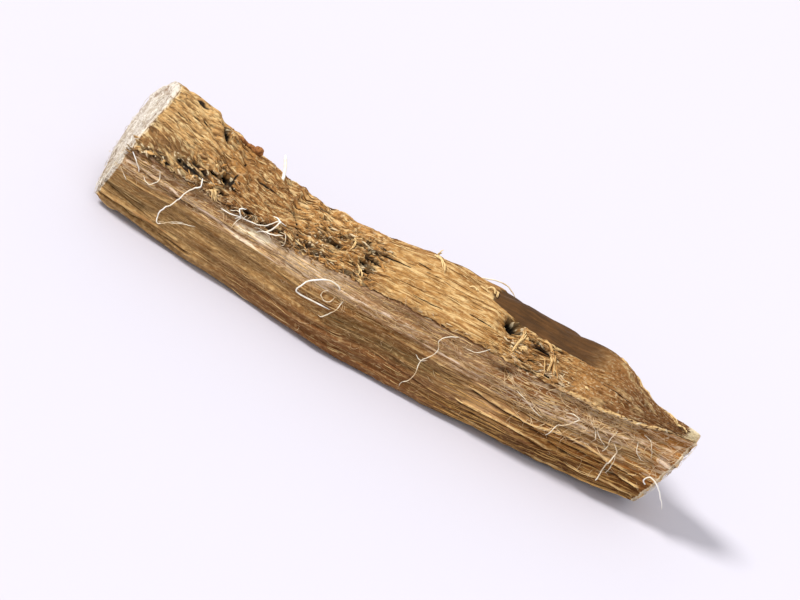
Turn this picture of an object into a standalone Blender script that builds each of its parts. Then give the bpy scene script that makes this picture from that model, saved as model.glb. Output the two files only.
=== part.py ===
"""One piece of dried marshmallow root: a root split lengthwise and cut at both ends, lying on its split face.

The piece lies along X, with its bark up and to the back (+Y) and its fibrous split face in front (-Y).
The origin is the middle of the rectangle that it covers on the table, and Z is up. Lengths are in metres.
"""

import bmesh
import bpy
import numpy as np
from mathutils import Vector, noise

MM = 0.001

# Mesh spacing: rings along the root, points round each ring, and rings inside each cut face.
RINGS_ALONG = 74
POINTS_AROUND = 62
CUT_RINGS = (0.86, 0.68, 0.48, 0.26)

# The five long edges of the root, as (x, y, z) in millimetres from the left cut to the right one.
# The section turns from ridge to crown and back over the bark, then heel and foot along the underside.
EDGE_LINES = {
    "ridge": (
        (-30, -3.0, 6.4), (-18, -4.2, 7.7), (-4, -4.6, 8.3), (10, -3.8, 8.8),
        (19.5, -2.9, 9.0), (24, -2.5, 9.7), (30, -2.1, 10.4),
    ),
    "crown": (
        (-30, 3.0, 12.6), (-25.5, 3.0, 12.3), (-22, 3.1, 11.5), (-18, 3.2, 9.0), (-14.5, 3.2, 8.0), (-10, 3.2, 8.0),
        (-6, 3.2, 9.0), (-2.5, 3.3, 9.3), (1, 3.3, 10.8), (5, 3.4, 10.1), (12, 3.4, 10.4), (19, 3.3, 11.3),
        (24.2, -0.4, 10.0), (27, -0.6, 10.8), (30, -0.6, 11.0),
    ),
    "back": (
        (-30, 5.6, 6.2), (-18, 6.0, 5.2), (-4, 6.3, 4.8), (10, 6.3, 5.4),
        (18, 6.1, 5.8), (24, 2.4, 5.6), (30, 0.6, 5.6),
    ),
    "heel": (
        (-30, 4.2, 1.3), (-18, 4.9, 0.5), (-4, 5.2, 0.25), (10, 5.0, 0.35),
        (17, 4.7, 0.7), (24, 3.2, 1.1), (30, 1.2, 1.4),
    ),
    "foot": (
        (-30, -3.2, 0.9), (-18, -4.7, 0.3), (-4, -5.4, 0.15), (10, -4.5, 0.25),
        (19.5, -3.2, 0.8), (24, -2.7, 1.1), (30, -2.2, 1.4),
    ),
}
EDGE_BEND = 1.5  # half the length, in millimetres, over which an edge line turns at one of its points

# Where each edge stands on the way round the section, from 0 to 1, and the share that its corner rounds.
EDGE_TURN = {"ridge": 0.0, "crown": 0.24, "back": 0.37, "heel": 0.51, "foot": 0.77}
EDGE_ROUND = {"ridge": 0.012, "crown": 0.075, "back": 0.085, "heel": 0.03, "foot": 0.022}
# How far the side after each edge swells outwards, as a share of its length.
SIDE_SWELL = {"ridge": 0.10, "crown": 0.09, "back": 0.10, "heel": 0.0, "foot": 0.045}

# The two cuts: where each crosses the root's axis, and how far x moves for each millimetre of y and of z.
LEFT_CUT, LEFT_LEAN_Y, LEFT_LEAN_Z = -28.5, -0.12, 0.12
RIGHT_CUT, RIGHT_LEAN_Y, RIGHT_LEAN_Z = 27.8, -0.05, 0.20
AXIS_HEIGHT = 5.0
WORN_HEIGHT, WORN_LEAN = 8.0, 0.25  # the left cut falls back above this height, where its edge is worn
CUT_ROUGHNESS, CUT_GRAIN = 0.28, 1.1  # the height and the size of the bumps on a cut face
CUT_EDGE_ANGLE = np.radians(50)

# Relief, in millimetres.
LUMP_SIZE, LUMP_HEIGHT = 6.5, 0.45
FURROW_SIZE, FURROW_STRETCH, FURROW_DEPTH = 1.9, 3.4, 0.60
SKEW_START, SKEW = -7.0, 0.40  # left of SKEW_START the furrows run askew, by SKEW millimetres a millimetre
GROOVE_SIZE, GROOVE_STRETCH, GROOVE_DEPTH = 1.35, 16.0, 0.42
# In the noise's own units: how far the bottom of a furrow is rounded, and where a furrow and a groove end.
CREASE, FURROW_EDGE, GROOVE_EDGE = 0.06, 0.35, 0.30
LAND_LEVEL = 0.6  # the share of a furrow's depth that lies below the smooth section
LIP_HEIGHT, LIP_TURN, LIP_WIDTH = 0.42, 0.018, 0.014
UNDERCUT_DEPTH, UNDERCUT_TURN = 0.30, -0.022
# The spot that the root rests on: its middle, its two half widths, and how far it stands out.
REST_X, REST_Y, REST_LENGTH, REST_WIDTH, REST_DEPTH = -1.5, -0.2, 7.5, 3.2, 0.75

# Rootlet scars, as (x, turn, length, width, depth) with sizes in millimetres; a negative depth is a knob.
SCARS = (
    (-22.4, 0.060, 2.4, 0.9, 0.7),
    (-19.2, 0.082, 1.1, 1.1, 0.8),
    (-7.8, 0.092, 1.5, 1.1, 1.0),
    (-4.0, 0.052, 1.1, 1.1, 0.9),
    (9.6, 0.102, 1.4, 1.3, 1.2),
    (13.2, 0.068, 2.6, 1.6, -0.55),
    (-21.4, 0.235, 1.0, 1.6, 0.8),
    (-18.0, 0.235, 1.5, 1.4, -0.6),
    (11.0, -0.029, 1.3, 0.6, 0.5),
    (-12.0, 0.16, 0.7, 3.4, 0.45),
    (-10.5, 0.33, 1.8, 1.6, 1.0),
    (4.5, 0.41, 1.6, 1.5, -0.8),
    (-24.0, 0.44, 2.2, 1.2, 0.8),
    (14.5, 0.34, 2.0, 1.0, 0.8),
)
SCAR_RIM = 0.35  # the height of the rim round a pit, in millimetres
RIM_REACH, RIM_WIDTH, PIT_WIDTH = 1.5, 0.45, 0.9  # as shares of the pit's own size
SECTION_LENGTH = 38.0  # millimetres round the section at its thickest

BARK_START, BARK_END, BARK_FADE = 0.0, 0.53, 0.012  # the turns where the bark starts and ends
LAST_FRONT_TURN = 0.9  # turns past this one are counted back from the ridge, as less than 0
BARK_COLOUR = (0.42, 0.25, 0.12, 1.0)


def start_empty():
    for thing in list(bpy.data.objects):
        bpy.data.objects.remove(thing)


def edge_point(edge, x):
    """(y, z) of a long edge at x, with its turns eased over EDGE_BEND."""
    stations, ys, zs = np.array(EDGE_LINES[edge], float).T
    steps = x + np.linspace(-EDGE_BEND, EDGE_BEND, 7)[:, None]
    return np.array([np.interp(steps, stations, ys).mean(0), np.interp(steps, stations, zs).mean(0)])


def sharp_section(x, turn):
    """(y, z) on the section at x before its corners are rounded, for turn from 0 to 1."""
    names = list(EDGE_TURN)
    starts = np.array([EDGE_TURN[name] for name in names] + [1.0])
    corners = [edge_point(name, x) for name in names]
    turn = turn % 1.0
    found = np.zeros((2, len(x)))
    for n, name in enumerate(names):
        on_side = (turn >= starts[n]) & (turn < starts[n + 1])
        share = (turn - starts[n]) / (starts[n + 1] - starts[n])
        here, there = corners[n], corners[(n + 1) % len(names)]
        side = there - here
        swell = SIDE_SWELL[name] * 4 * share * (1 - share) * np.array([-side[1], side[0]])
        found = np.where(on_side, here + side * share + swell, found)
    return found


def section(x, turn):
    """(y, z) on the section at x with its corners rounded: the mean of the sharp section round that turn."""
    places = list(EDGE_TURN.values()) + [1.0]
    rounds = [EDGE_ROUND[name] for name in EDGE_TURN] + [EDGE_ROUND["ridge"]]
    reach = np.interp(turn % 1.0, places, rounds)
    return np.mean([sharp_section(x, turn + reach * step) for step in np.linspace(-1, 1, 9)], axis=0)


def grain(x, y, z, size, stretch=1.0, offset=0.0):
    """Smooth noise from about -1 to 1, drawn out along the root by stretch."""
    return np.array([
        noise.noise(Vector((a / (size * stretch) + offset, b / size, c / size)))
        for a, b, c in zip(x, y, z)
    ])


def bump(distance, width):
    return np.exp(-((distance / width) ** 2))


def ease(value, low, high):
    """0 below low, 1 above high, smooth between."""
    share = np.clip((value - low) / (high - low), 0, 1)
    return share * share * (3 - 2 * share)


def relief(x, turn, y, z):
    """How far the surface stands out from the smooth section, in millimetres."""
    signed_turn = np.where(turn > LAST_FRONT_TURN, turn - 1.0, turn)
    bark = ease(signed_turn, BARK_START - BARK_FADE, BARK_START + BARK_FADE)
    bark *= 1 - ease(signed_turn, BARK_END, BARK_END + BARK_FADE)
    height = LUMP_HEIGHT * grain(x, y, z, LUMP_SIZE)
    skewed_y = y + SKEW * np.minimum(x - SKEW_START, 0.0)
    furrows = np.hypot(grain(x, skewed_y, z, FURROW_SIZE, FURROW_STRETCH, offset=7.3), CREASE)
    height += bark * FURROW_DEPTH * (np.minimum(furrows / FURROW_EDGE, 1.0) - LAND_LEVEL)
    grooves = np.hypot(grain(x, y, z, GROOVE_SIZE, GROOVE_STRETCH, offset=2.1), CREASE)
    height += (1 - bark) * GROOVE_DEPTH * (np.minimum(grooves / GROOVE_EDGE, 1.0) - LAND_LEVEL)
    height += LIP_HEIGHT * bump(signed_turn - LIP_TURN, LIP_WIDTH)
    height -= UNDERCUT_DEPTH * bump(signed_turn - UNDERCUT_TURN, LIP_WIDTH)
    for scar_x, scar_turn, length, width, depth in SCARS:
        away = np.hypot((x - scar_x) / length, (signed_turn - scar_turn) * SECTION_LENGTH / width)
        rim = SCAR_RIM * bump(away - RIM_REACH, RIM_WIDTH) if depth > 0 else 0.0
        height += rim - depth * bump(away, PIT_WIDTH)
    underside = ease(signed_turn, EDGE_TURN["heel"], EDGE_TURN["heel"] + BARK_FADE)
    underside *= 1 - ease(signed_turn, EDGE_TURN["foot"] - BARK_FADE, EDGE_TURN["foot"])
    from_rest = np.hypot((x - REST_X) / REST_LENGTH, (y - REST_Y) / REST_WIDTH)
    height += REST_DEPTH * underside * bump(from_rest, 1.0)
    return height


def surface(x, turn):
    """(y, z) of the finished surface. Nothing reaches below the table, which leaves a flat spot."""
    turn_step = 0.004
    y, z = section(x, turn)
    ahead = section(x, turn + turn_step)
    behind = section(x, turn - turn_step)
    tangent = ahead - behind
    tangent /= np.hypot(*tangent)
    height = relief(x, turn, y, z)
    return y - tangent[1] * height, np.maximum(z + tangent[0] * height, 0.0)


def left_cut(y, z):
    level = LEFT_CUT + LEFT_LEAN_Y * y + LEFT_LEAN_Z * (z - AXIS_HEIGHT)
    return level + WORN_LEAN * np.maximum(z - WORN_HEIGHT, 0.0)


def right_cut(y, z):
    return RIGHT_CUT + RIGHT_LEAN_Y * y + RIGHT_LEAN_Z * (z - AXIS_HEIGHT)


def ring(share, turns):
    """One ring of points, share of the way from the left cut to the right one."""
    level_x = np.full(len(turns), LEFT_CUT + share * (RIGHT_CUT - LEFT_CUT))
    y, z = surface(level_x, turns)
    x = left_cut(y, z) + share * (right_cut(y, z) - left_cut(y, z))
    return np.array([x, y, z]).T


def add_ring(mesh, points):
    return [mesh.verts.new(Vector(p) * MM) for p in points]


def bridge(mesh, first, second):
    """Faces between two rings, looking out when first lies on the left of second."""
    count = len(first)
    for n in range(count):
        after = (n + 1) % count
        mesh.faces.new((first[n], second[n], second[after], first[after]))


def close_cut(mesh, edge_ring, points, outward):
    """Fills a cut face with smaller and smaller rings, rough like broken root, and a centre point."""
    middle = points.mean(0)
    outer = edge_ring
    for size in CUT_RINGS + (0.0,):
        inner = middle + (points - middle) * size
        if size:
            rough = CUT_ROUGHNESS * grain(*inner.T, CUT_GRAIN, offset=4.0)
            inner[:, 0] += outward * rough
            next_ring = add_ring(mesh, inner)
            first, second = (next_ring, outer) if outward < 0 else (outer, next_ring)
            bridge(mesh, first, second)
            outer = next_ring
        else:
            centre = mesh.verts.new(Vector(middle) * MM)
            for n, vert in enumerate(outer):
                after = outer[(n + 1) % len(outer)]
                mesh.faces.new((centre, vert, after) if outward < 0 else (centre, after, vert))


def stand_on_origin(mesh):
    """Moves the root so that the origin is the middle of its footprint, at table height."""
    places = np.array([vert.co for vert in mesh.verts])
    low, high = places.min(0), places.max(0)
    shift = Vector((-(low[0] + high[0]) / 2, -(low[1] + high[1]) / 2, -low[2]))
    bmesh.ops.translate(mesh, verts=mesh.verts, vec=shift)


def bark_material():
    material = bpy.data.materials.new("dried_root")
    material.use_nodes = True
    shader = material.node_tree.nodes["Principled BSDF"]
    shader.inputs["Base Color"].default_value = BARK_COLOUR
    shader.inputs["Roughness"].default_value = 0.85
    shader.inputs["Metallic"].default_value = 0.0
    return material


def root_piece():
    turns = np.arange(POINTS_AROUND) / POINTS_AROUND
    mesh = bmesh.new()
    rings = [ring(share, turns) for share in np.linspace(0, 1, RINGS_ALONG)]
    ring_verts = [add_ring(mesh, points) for points in rings]
    for first, second in zip(ring_verts, ring_verts[1:]):
        bridge(mesh, first, second)
    close_cut(mesh, ring_verts[0], rings[0], outward=-1)
    close_cut(mesh, ring_verts[-1], rings[-1], outward=1)
    bmesh.ops.recalc_face_normals(mesh, faces=mesh.faces)
    stand_on_origin(mesh)
    data = bpy.data.meshes.new("root_piece")
    mesh.to_mesh(data)
    mesh.free()
    data.materials.append(bark_material())
    data.shade_smooth()
    data.set_sharp_from_angle(angle=CUT_EDGE_ANGLE)
    root = bpy.data.objects.new("root_piece", data)
    bpy.context.scene.collection.objects.link(root)
    return root


def main():
    start_empty()
    root_piece()


main()
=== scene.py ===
import math
import random

import bpy
import numpy as np
from mathutils import Matrix, Vector, noise


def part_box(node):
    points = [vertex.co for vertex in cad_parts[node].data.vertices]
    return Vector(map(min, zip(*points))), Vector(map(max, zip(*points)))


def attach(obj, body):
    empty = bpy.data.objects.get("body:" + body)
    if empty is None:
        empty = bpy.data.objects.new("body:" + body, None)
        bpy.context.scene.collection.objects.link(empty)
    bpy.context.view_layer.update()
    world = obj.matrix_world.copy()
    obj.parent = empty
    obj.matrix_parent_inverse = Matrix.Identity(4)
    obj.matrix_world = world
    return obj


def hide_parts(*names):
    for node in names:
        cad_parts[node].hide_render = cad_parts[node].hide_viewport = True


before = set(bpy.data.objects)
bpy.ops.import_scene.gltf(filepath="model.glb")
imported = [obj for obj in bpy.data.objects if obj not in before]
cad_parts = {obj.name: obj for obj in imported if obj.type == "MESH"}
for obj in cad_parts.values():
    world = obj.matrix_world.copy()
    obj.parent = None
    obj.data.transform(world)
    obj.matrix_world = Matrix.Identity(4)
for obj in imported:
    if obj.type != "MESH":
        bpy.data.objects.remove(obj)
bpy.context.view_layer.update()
solidLow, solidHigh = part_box("root_piece")
mm = 0.001


def bump(distance, width):
    return np.exp(-((distance / width) ** 2))


def ease(value, low, high):  # 0 below low, 1 above high, smooth between
    share = np.clip((value - low) / (high - low), 0, 1)
    return share * share * (3 - 2 * share)


def within(value, start, full, fading, end):  # 1 between two limits, easing to 0 on both sides
    return ease(value, start, full) * (1 - ease(value, fading, end))


def creases(heights, edge):  # 1 where smooth noise passes zero, 0 from the edge on
    return 1 - np.minimum(np.abs(heights) / edge, 1)


def grain(x, y, z, size, stretch=1.0, offset=0.0):  # smooth noise from about -1 to 1, drawn out along x
    x, y, z = np.broadcast_arrays(x, y, z)
    spots = zip((x / (size * stretch) + offset).ravel(), (y / size).ravel(), (z / size).ravel())
    return np.fromiter((noise.noise(Vector(spot)) for spot in spots), float, x.size).reshape(x.shape)


def lineAt(line, xs):  # a value that changes along the root, given at a few places
    return np.interp(xs, *np.array(line, float).T)


# The form: the root's long edges, its two cuts and the relief that its solid has too.
rootForm = {
    "edges": {  # (x, y, z) from the left cut to the right one
        "ridge": (
            (-30, -3.0, 6.4), (-18, -4.2, 7.7), (-4, -4.6, 8.3), (10, -3.8, 8.8),
            (19.5, -2.9, 9.0), (24, -2.5, 9.7), (30, -2.1, 10.4),
        ),
        "crown": (
            (-30, 3.0, 12.6), (-25.5, 3.0, 12.3), (-22, 3.1, 11.5), (-18, 3.2, 9.0), (-14.5, 3.2, 8.0),
            (-10, 3.2, 8.0), (-6, 3.2, 9.0), (-2.5, 3.3, 9.3), (1, 3.3, 10.8), (5, 3.4, 10.1),
            (12, 3.4, 10.4), (19, 3.3, 11.3), (24.2, -0.4, 10.0), (27, -0.6, 10.8), (30, -0.6, 11.0),
        ),
        "back": (
            (-30, 5.6, 6.2), (-18, 6.0, 5.2), (-4, 6.3, 4.8), (10, 6.3, 5.4),
            (18, 6.1, 5.8), (24, 2.4, 5.6), (30, 0.6, 5.6),
        ),
        "heel": (
            (-30, 4.2, 1.3), (-18, 4.9, 0.5), (-4, 5.2, 0.25), (10, 5.0, 0.35),
            (17, 4.7, 0.7), (24, 3.2, 1.1), (30, 1.2, 1.4),
        ),
        "foot": (
            (-30, -3.2, 0.9), (-18, -4.7, 0.3), (-4, -5.4, 0.15), (10, -4.5, 0.25),
            (19.5, -3.2, 0.8), (24, -2.7, 1.1), (30, -2.2, 1.4),
        ),
    },
    "edgeBend": 1.5,
    "edgeTurn": {"ridge": 0.0, "crown": 0.24, "back": 0.37, "heel": 0.51, "foot": 0.77},
    "edgeRound": {"ridge": 0.012, "crown": 0.075, "back": 0.085, "heel": 0.03, "foot": 0.022},
    "sideSwell": {"ridge": 0.10, "crown": 0.09, "back": 0.10, "heel": 0.0, "foot": 0.045},
    "leftCut": -28.5, "leftLeanY": -0.12, "leftLeanZ": 0.12,
    "rightCut": 27.8, "rightLeanY": -0.05, "rightLeanZ": 0.20,
    "axisHeight": 5.0, "wornHeight": 8.0, "wornLean": 0.25,
    "girth": 38.0,  # round the section at its thickest
}
rootRelief = {
    "lumpSize": 6.5, "lumpHeight": 0.45,
    "furrowSize": 1.9, "furrowStretch": 3.4, "furrowDepth": 0.60, "furrowEdge": 0.35,
    "skewStart": -7.0, "skew": 0.40,
    "grooveSize": 1.35, "grooveStretch": 16.0, "grooveDepth": 0.42, "grooveEdge": 0.30,
    "crease": 0.06, "landLevel": 0.6,
    "lipHeight": 0.42, "lipTurn": 0.018, "lipWidth": 0.014, "undercutDepth": 0.30, "undercutTurn": -0.022,
    "restX": -1.5, "restY": -0.2, "restLength": 7.5, "restWidth": 3.2, "restDepth": 0.75,
    "barkEnd": 0.53, "barkFade": 0.012,
    "rim": 0.35, "rimReach": 1.5, "rimWidth": 0.45, "pitWidth": 0.9,
    "scarShare": 1.0, "cutRoughness": 0.28, "cutGrain": 1.1,
}
softer = {"furrowDepth": 0.32, "rim": 0.10, "scarShare": 0.55}  # the skin's wrinkles take the rest's place
rootScars = (  # x, turn, length, width, depth
    (-22.4, 0.060, 2.4, 0.9, 0.7), (-19.2, 0.082, 1.1, 1.1, 0.8), (-7.8, 0.092, 1.5, 1.1, 1.0),
    (-4.0, 0.052, 1.1, 1.1, 0.9), (9.6, 0.102, 1.4, 1.3, 1.2), (13.2, 0.068, 2.6, 1.6, -0.55),
    (-21.4, 0.235, 1.0, 1.6, 0.8), (-18.0, 0.235, 1.5, 1.4, -0.6), (11.0, -0.029, 1.3, 0.6, 0.5),
    (-12.0, 0.16, 0.7, 3.4, 0.45), (-10.5, 0.33, 1.8, 1.6, 1.0), (4.5, 0.41, 1.6, 1.5, -0.8),
    (-24.0, 0.44, 2.2, 1.2, 0.8), (14.5, 0.34, 2.0, 1.0, 0.8),
)


def edgeAt(edge, xs):
    stations, ys, zs = np.array(rootForm["edges"][edge], float).T
    steps = xs + np.linspace(-rootForm["edgeBend"], rootForm["edgeBend"], 7)[:, None]
    return np.array([np.interp(steps, stations, line).mean(0) for line in (ys, zs)])[:, :, None]


def sharpSection(corners, turns):
    names = list(rootForm["edgeTurn"])
    starts = list(rootForm["edgeTurn"].values()) + [1.0]
    turns = turns % 1.0
    found = np.zeros((2, corners["ridge"].shape[1], len(turns)))
    for n, name in enumerate(names):
        onSide = (turns >= starts[n]) & (turns < starts[n + 1])
        share = (turns[onSide] - starts[n]) / (starts[n + 1] - starts[n])
        here, there = corners[name], corners[names[(n + 1) % len(names)]]
        side = there - here
        swell = rootForm["sideSwell"][name] * 4 * share * (1 - share)
        found[:, :, onSide] = here + side * share + swell * np.array([-side[1], side[0]])
    return found


def smoothSection(corners, turns):
    places = list(rootForm["edgeTurn"].values()) + [1.0]
    rounds = list(rootForm["edgeRound"].values()) + [rootForm["edgeRound"]["ridge"]]
    reach = np.interp(turns % 1.0, places, rounds)
    return np.mean([sharpSection(corners, turns + reach * step) for step in np.linspace(-1, 1, 9)], axis=0)


def spotDistance(x, turn, spot):  # from the middle of a spot, in its own half lengths and half widths
    return np.hypot((x - spot[0]) / spot[2], (turn - spot[1]) * rootForm["girth"] / spot[3])


def formRelief(x, turn, y, z, r):  # the relief that the solid has, or a softer one for the skin
    turn = turn % 1.0
    turn = np.where(turn > rootForm["edgeTurn"]["foot"], turn - 1, turn)
    fade = r["barkFade"]
    bark = within(turn, -fade, fade, r["barkEnd"], r["barkEnd"] + fade)
    height = r["lumpHeight"] * grain(x, y, z, r["lumpSize"])
    skewed = y + r["skew"] * np.minimum(x - r["skewStart"], 0.0)
    furrows = np.hypot(grain(x, skewed, z, r["furrowSize"], r["furrowStretch"], 7.3), r["crease"])
    height += bark * r["furrowDepth"] * (np.minimum(furrows / r["furrowEdge"], 1) - r["landLevel"])
    grooves = np.hypot(grain(x, y, z, r["grooveSize"], r["grooveStretch"], 2.1), r["crease"])
    height += (1 - bark) * r["grooveDepth"] * (np.minimum(grooves / r["grooveEdge"], 1) - r["landLevel"])
    height += r["lipHeight"] * bump(turn - r["lipTurn"], r["lipWidth"])
    height -= r["undercutDepth"] * bump(turn - r["undercutTurn"], r["lipWidth"])
    for scar in rootScars:
        away = spotDistance(x, turn, scar)
        rim = r["rim"] * bump(away - r["rimReach"], r["rimWidth"]) if scar[4] > 0 else 0.0
        height += rim - r["scarShare"] * scar[4] * bump(away, r["pitWidth"])
    heel, foot = rootForm["edgeTurn"]["heel"], rootForm["edgeTurn"]["foot"]
    under = within(turn, heel, heel + fade, foot - fade, foot)
    fromRest = np.hypot((x - r["restX"]) / r["restLength"], (y - r["restY"]) / r["restWidth"])
    return height + r["restDepth"] * under * bump(fromRest, 1.0)


def cutX(side, y, z):
    up = z - rootForm["axisHeight"]
    return rootForm[side + "Cut"] + rootForm[side + "LeanY"] * y + rootForm[side + "LeanZ"] * up


def leftCutX(y, z):
    return cutX("left", y, z) + rootForm["wornLean"] * np.maximum(z - rootForm["wornHeight"], 0.0)


def rightCutX(y, z):
    return cutX("right", y, z)


# The smooth section, its outward direction and the solid's relief, tabled from cut to cut and all round.
# Turns run from the ridge, 0, up over the bark to the heel and, below 0, down the split wood to the foot.
rounds = {"runs": 324, "step": 0.002, "low": -0.76, "high": 0.56}
ringShares = np.linspace(0, 1, rounds["runs"] + 1)[:, None]
ringX = rootForm["leftCut"] + ringShares * (rootForm["rightCut"] - rootForm["leftCut"])
tableTurns = np.arange(rounds["low"], rounds["high"], rounds["step"])
cornerLines = {name: edgeAt(name, ringX[:, 0]) for name in rootForm["edges"]}
sectionTable = smoothSection(cornerLines, tableTurns)
aheadTable = np.gradient(sectionTable, axis=2)
aheadTable /= np.hypot(*aheadTable)
outTable = np.stack([-aheadTable[1], aheadTable[0]])
solidHeights = formRelief(ringX, tableTurns[None, :], *sectionTable, rootRelief)
leftTable = leftCutX(*sectionTable)
xTable = leftTable + ringShares * (rightCutX(*sectionTable) - leftTable)  # the cuts lean, and so do the rings
plainTable = formRelief(xTable, tableTurns[None, :], *sectionTable, {**rootRelief, **softer})[None]


def around(table, turns):  # what a table says at each ring's own turns
    spot = np.clip((turns - tableTurns[0]) / rounds["step"], 0, len(tableTurns) - 1.001)
    low = spot.astype(int)
    rings = np.arange(len(ringX))[:, None]
    return table[:, rings, low] * (1 - spot + low) + table[:, rings, low + 1] * (spot - low)


def raised(turns, heights):  # places at a height over the smooth section, never below the table
    y, z = around(sectionTable, turns) + around(outTable, turns) * heights
    z = np.maximum(z, 0.0)
    left = leftCutX(y, z)
    return np.stack([left + ringShares * (rightCutX(y, z) - left), y, z], axis=-1)


tabledForm = raised(np.broadcast_to(tableTurns, solidHeights.shape), solidHeights)
tabledMiddle = (tabledForm.min(axis=(0, 1)) + tabledForm.max(axis=(0, 1))) / 2
solidMiddle = (np.array(solidLow) + np.array(solidHigh)) / 2 / mm
settle = (solidMiddle - tabledMiddle) * np.array([1, 1, 0])  # the solid's box has its middle over the origin
print("sections tabled", xTable.shape, "set down by", settle.round(3))


def setDown(places):
    return (np.asarray(places) + settle) * mm


# A place on the front can also be told by how far down it shows, in millimetres from a level near the ridge,
# to somebody who sees the root from the front and well above.
facing = {"slope": math.radians(35), "level": 4.5, "lowTurn": -0.235, "highTurn": 0.25}
onFront = (tableTurns > facing["lowTurn"]) & (tableTurns < facing["highTurn"])
shownUp = math.sin(facing["slope"]) * sectionTable[0] + math.cos(facing["slope"]) * sectionTable[1]
shownDown = (facing["level"] - shownUp)[:, onFront][:, ::-1]
frontTurns = tableTurns[onFront][::-1]


def turnSeen(xs, downs):
    found = []
    for x, down in zip(xs, downs):
        ringAt = x
        for _ in range(3):  # the rings lean, so the ring through a place depends on its turn
            share = (ringAt - rootForm["leftCut"]) / (rootForm["rightCut"] - rootForm["leftCut"])
            ring = round(min(max(share, 0), 1) * rounds["runs"])
            turn = np.interp(down, shownDown[ring], frontTurns)
            ringAt = x - np.interp(turn, tableTurns, xTable[ring]) + ringX[ring, 0]
        found.append(turn)
    return np.array(found)


def strandsAlong(strands, x, turn, wobble):  # how high long thin strands stand, or gaps go, and where
    height = np.zeros_like(x)
    mark = np.zeros_like(x)
    for halfWidth, rise, *stops in strands:
        xs, downs = np.array(stops, float).T
        away = (turn - np.interp(x, xs, turnSeen(xs, downs))) * rootForm["girth"] + wobble
        run = min(1.0, 0.3 * (xs[-1] - xs[0]))
        here = within(x, xs[0], xs[0] + run, xs[-1] - run, xs[-1]) * bump(away, halfWidth)
        height += rise * here
        strength = min(1.0, -rise / wood["fullShadeDepth"]) if rise < 0 else 1.0  # shallow gaps get fainter painted shade
        mark = np.maximum(mark, here * strength)
    return height, mark


def splitDistance(x, turn, split):  # millimetres from a split's middle line, and how far along it
    startX, startTurn, endX, endTurn = split[:4]
    acrossRun = (endTurn - startTurn) * rootForm["girth"]
    overX, overAcross = x - startX, (turn - startTurn) * rootForm["girth"]
    run = (endX - startX) ** 2 + acrossRun**2
    share = np.clip((overX * (endX - startX) + overAcross * acrossRun) / run, 0, 1)
    away = np.hypot(overX - share * (endX - startX), overAcross - share * acrossRun)
    return away, share


def splitsIn(splits, x, turn, wobble):  # how deep long thin splits go, and how dark they are painted, as shade in them
    depth = np.zeros_like(x)
    dark = np.zeros_like(x)
    for split in splits:
        away, share = splitDistance(x, turn + wobble / rootForm["girth"], split)
        gap = bump(away, split[4]) * np.sqrt(np.clip(0.25 + 4 * share * (1 - share), 0, 1))
        depth += split[5] * gap
        dark = np.maximum(dark, gap)
    return depth, dark


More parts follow.
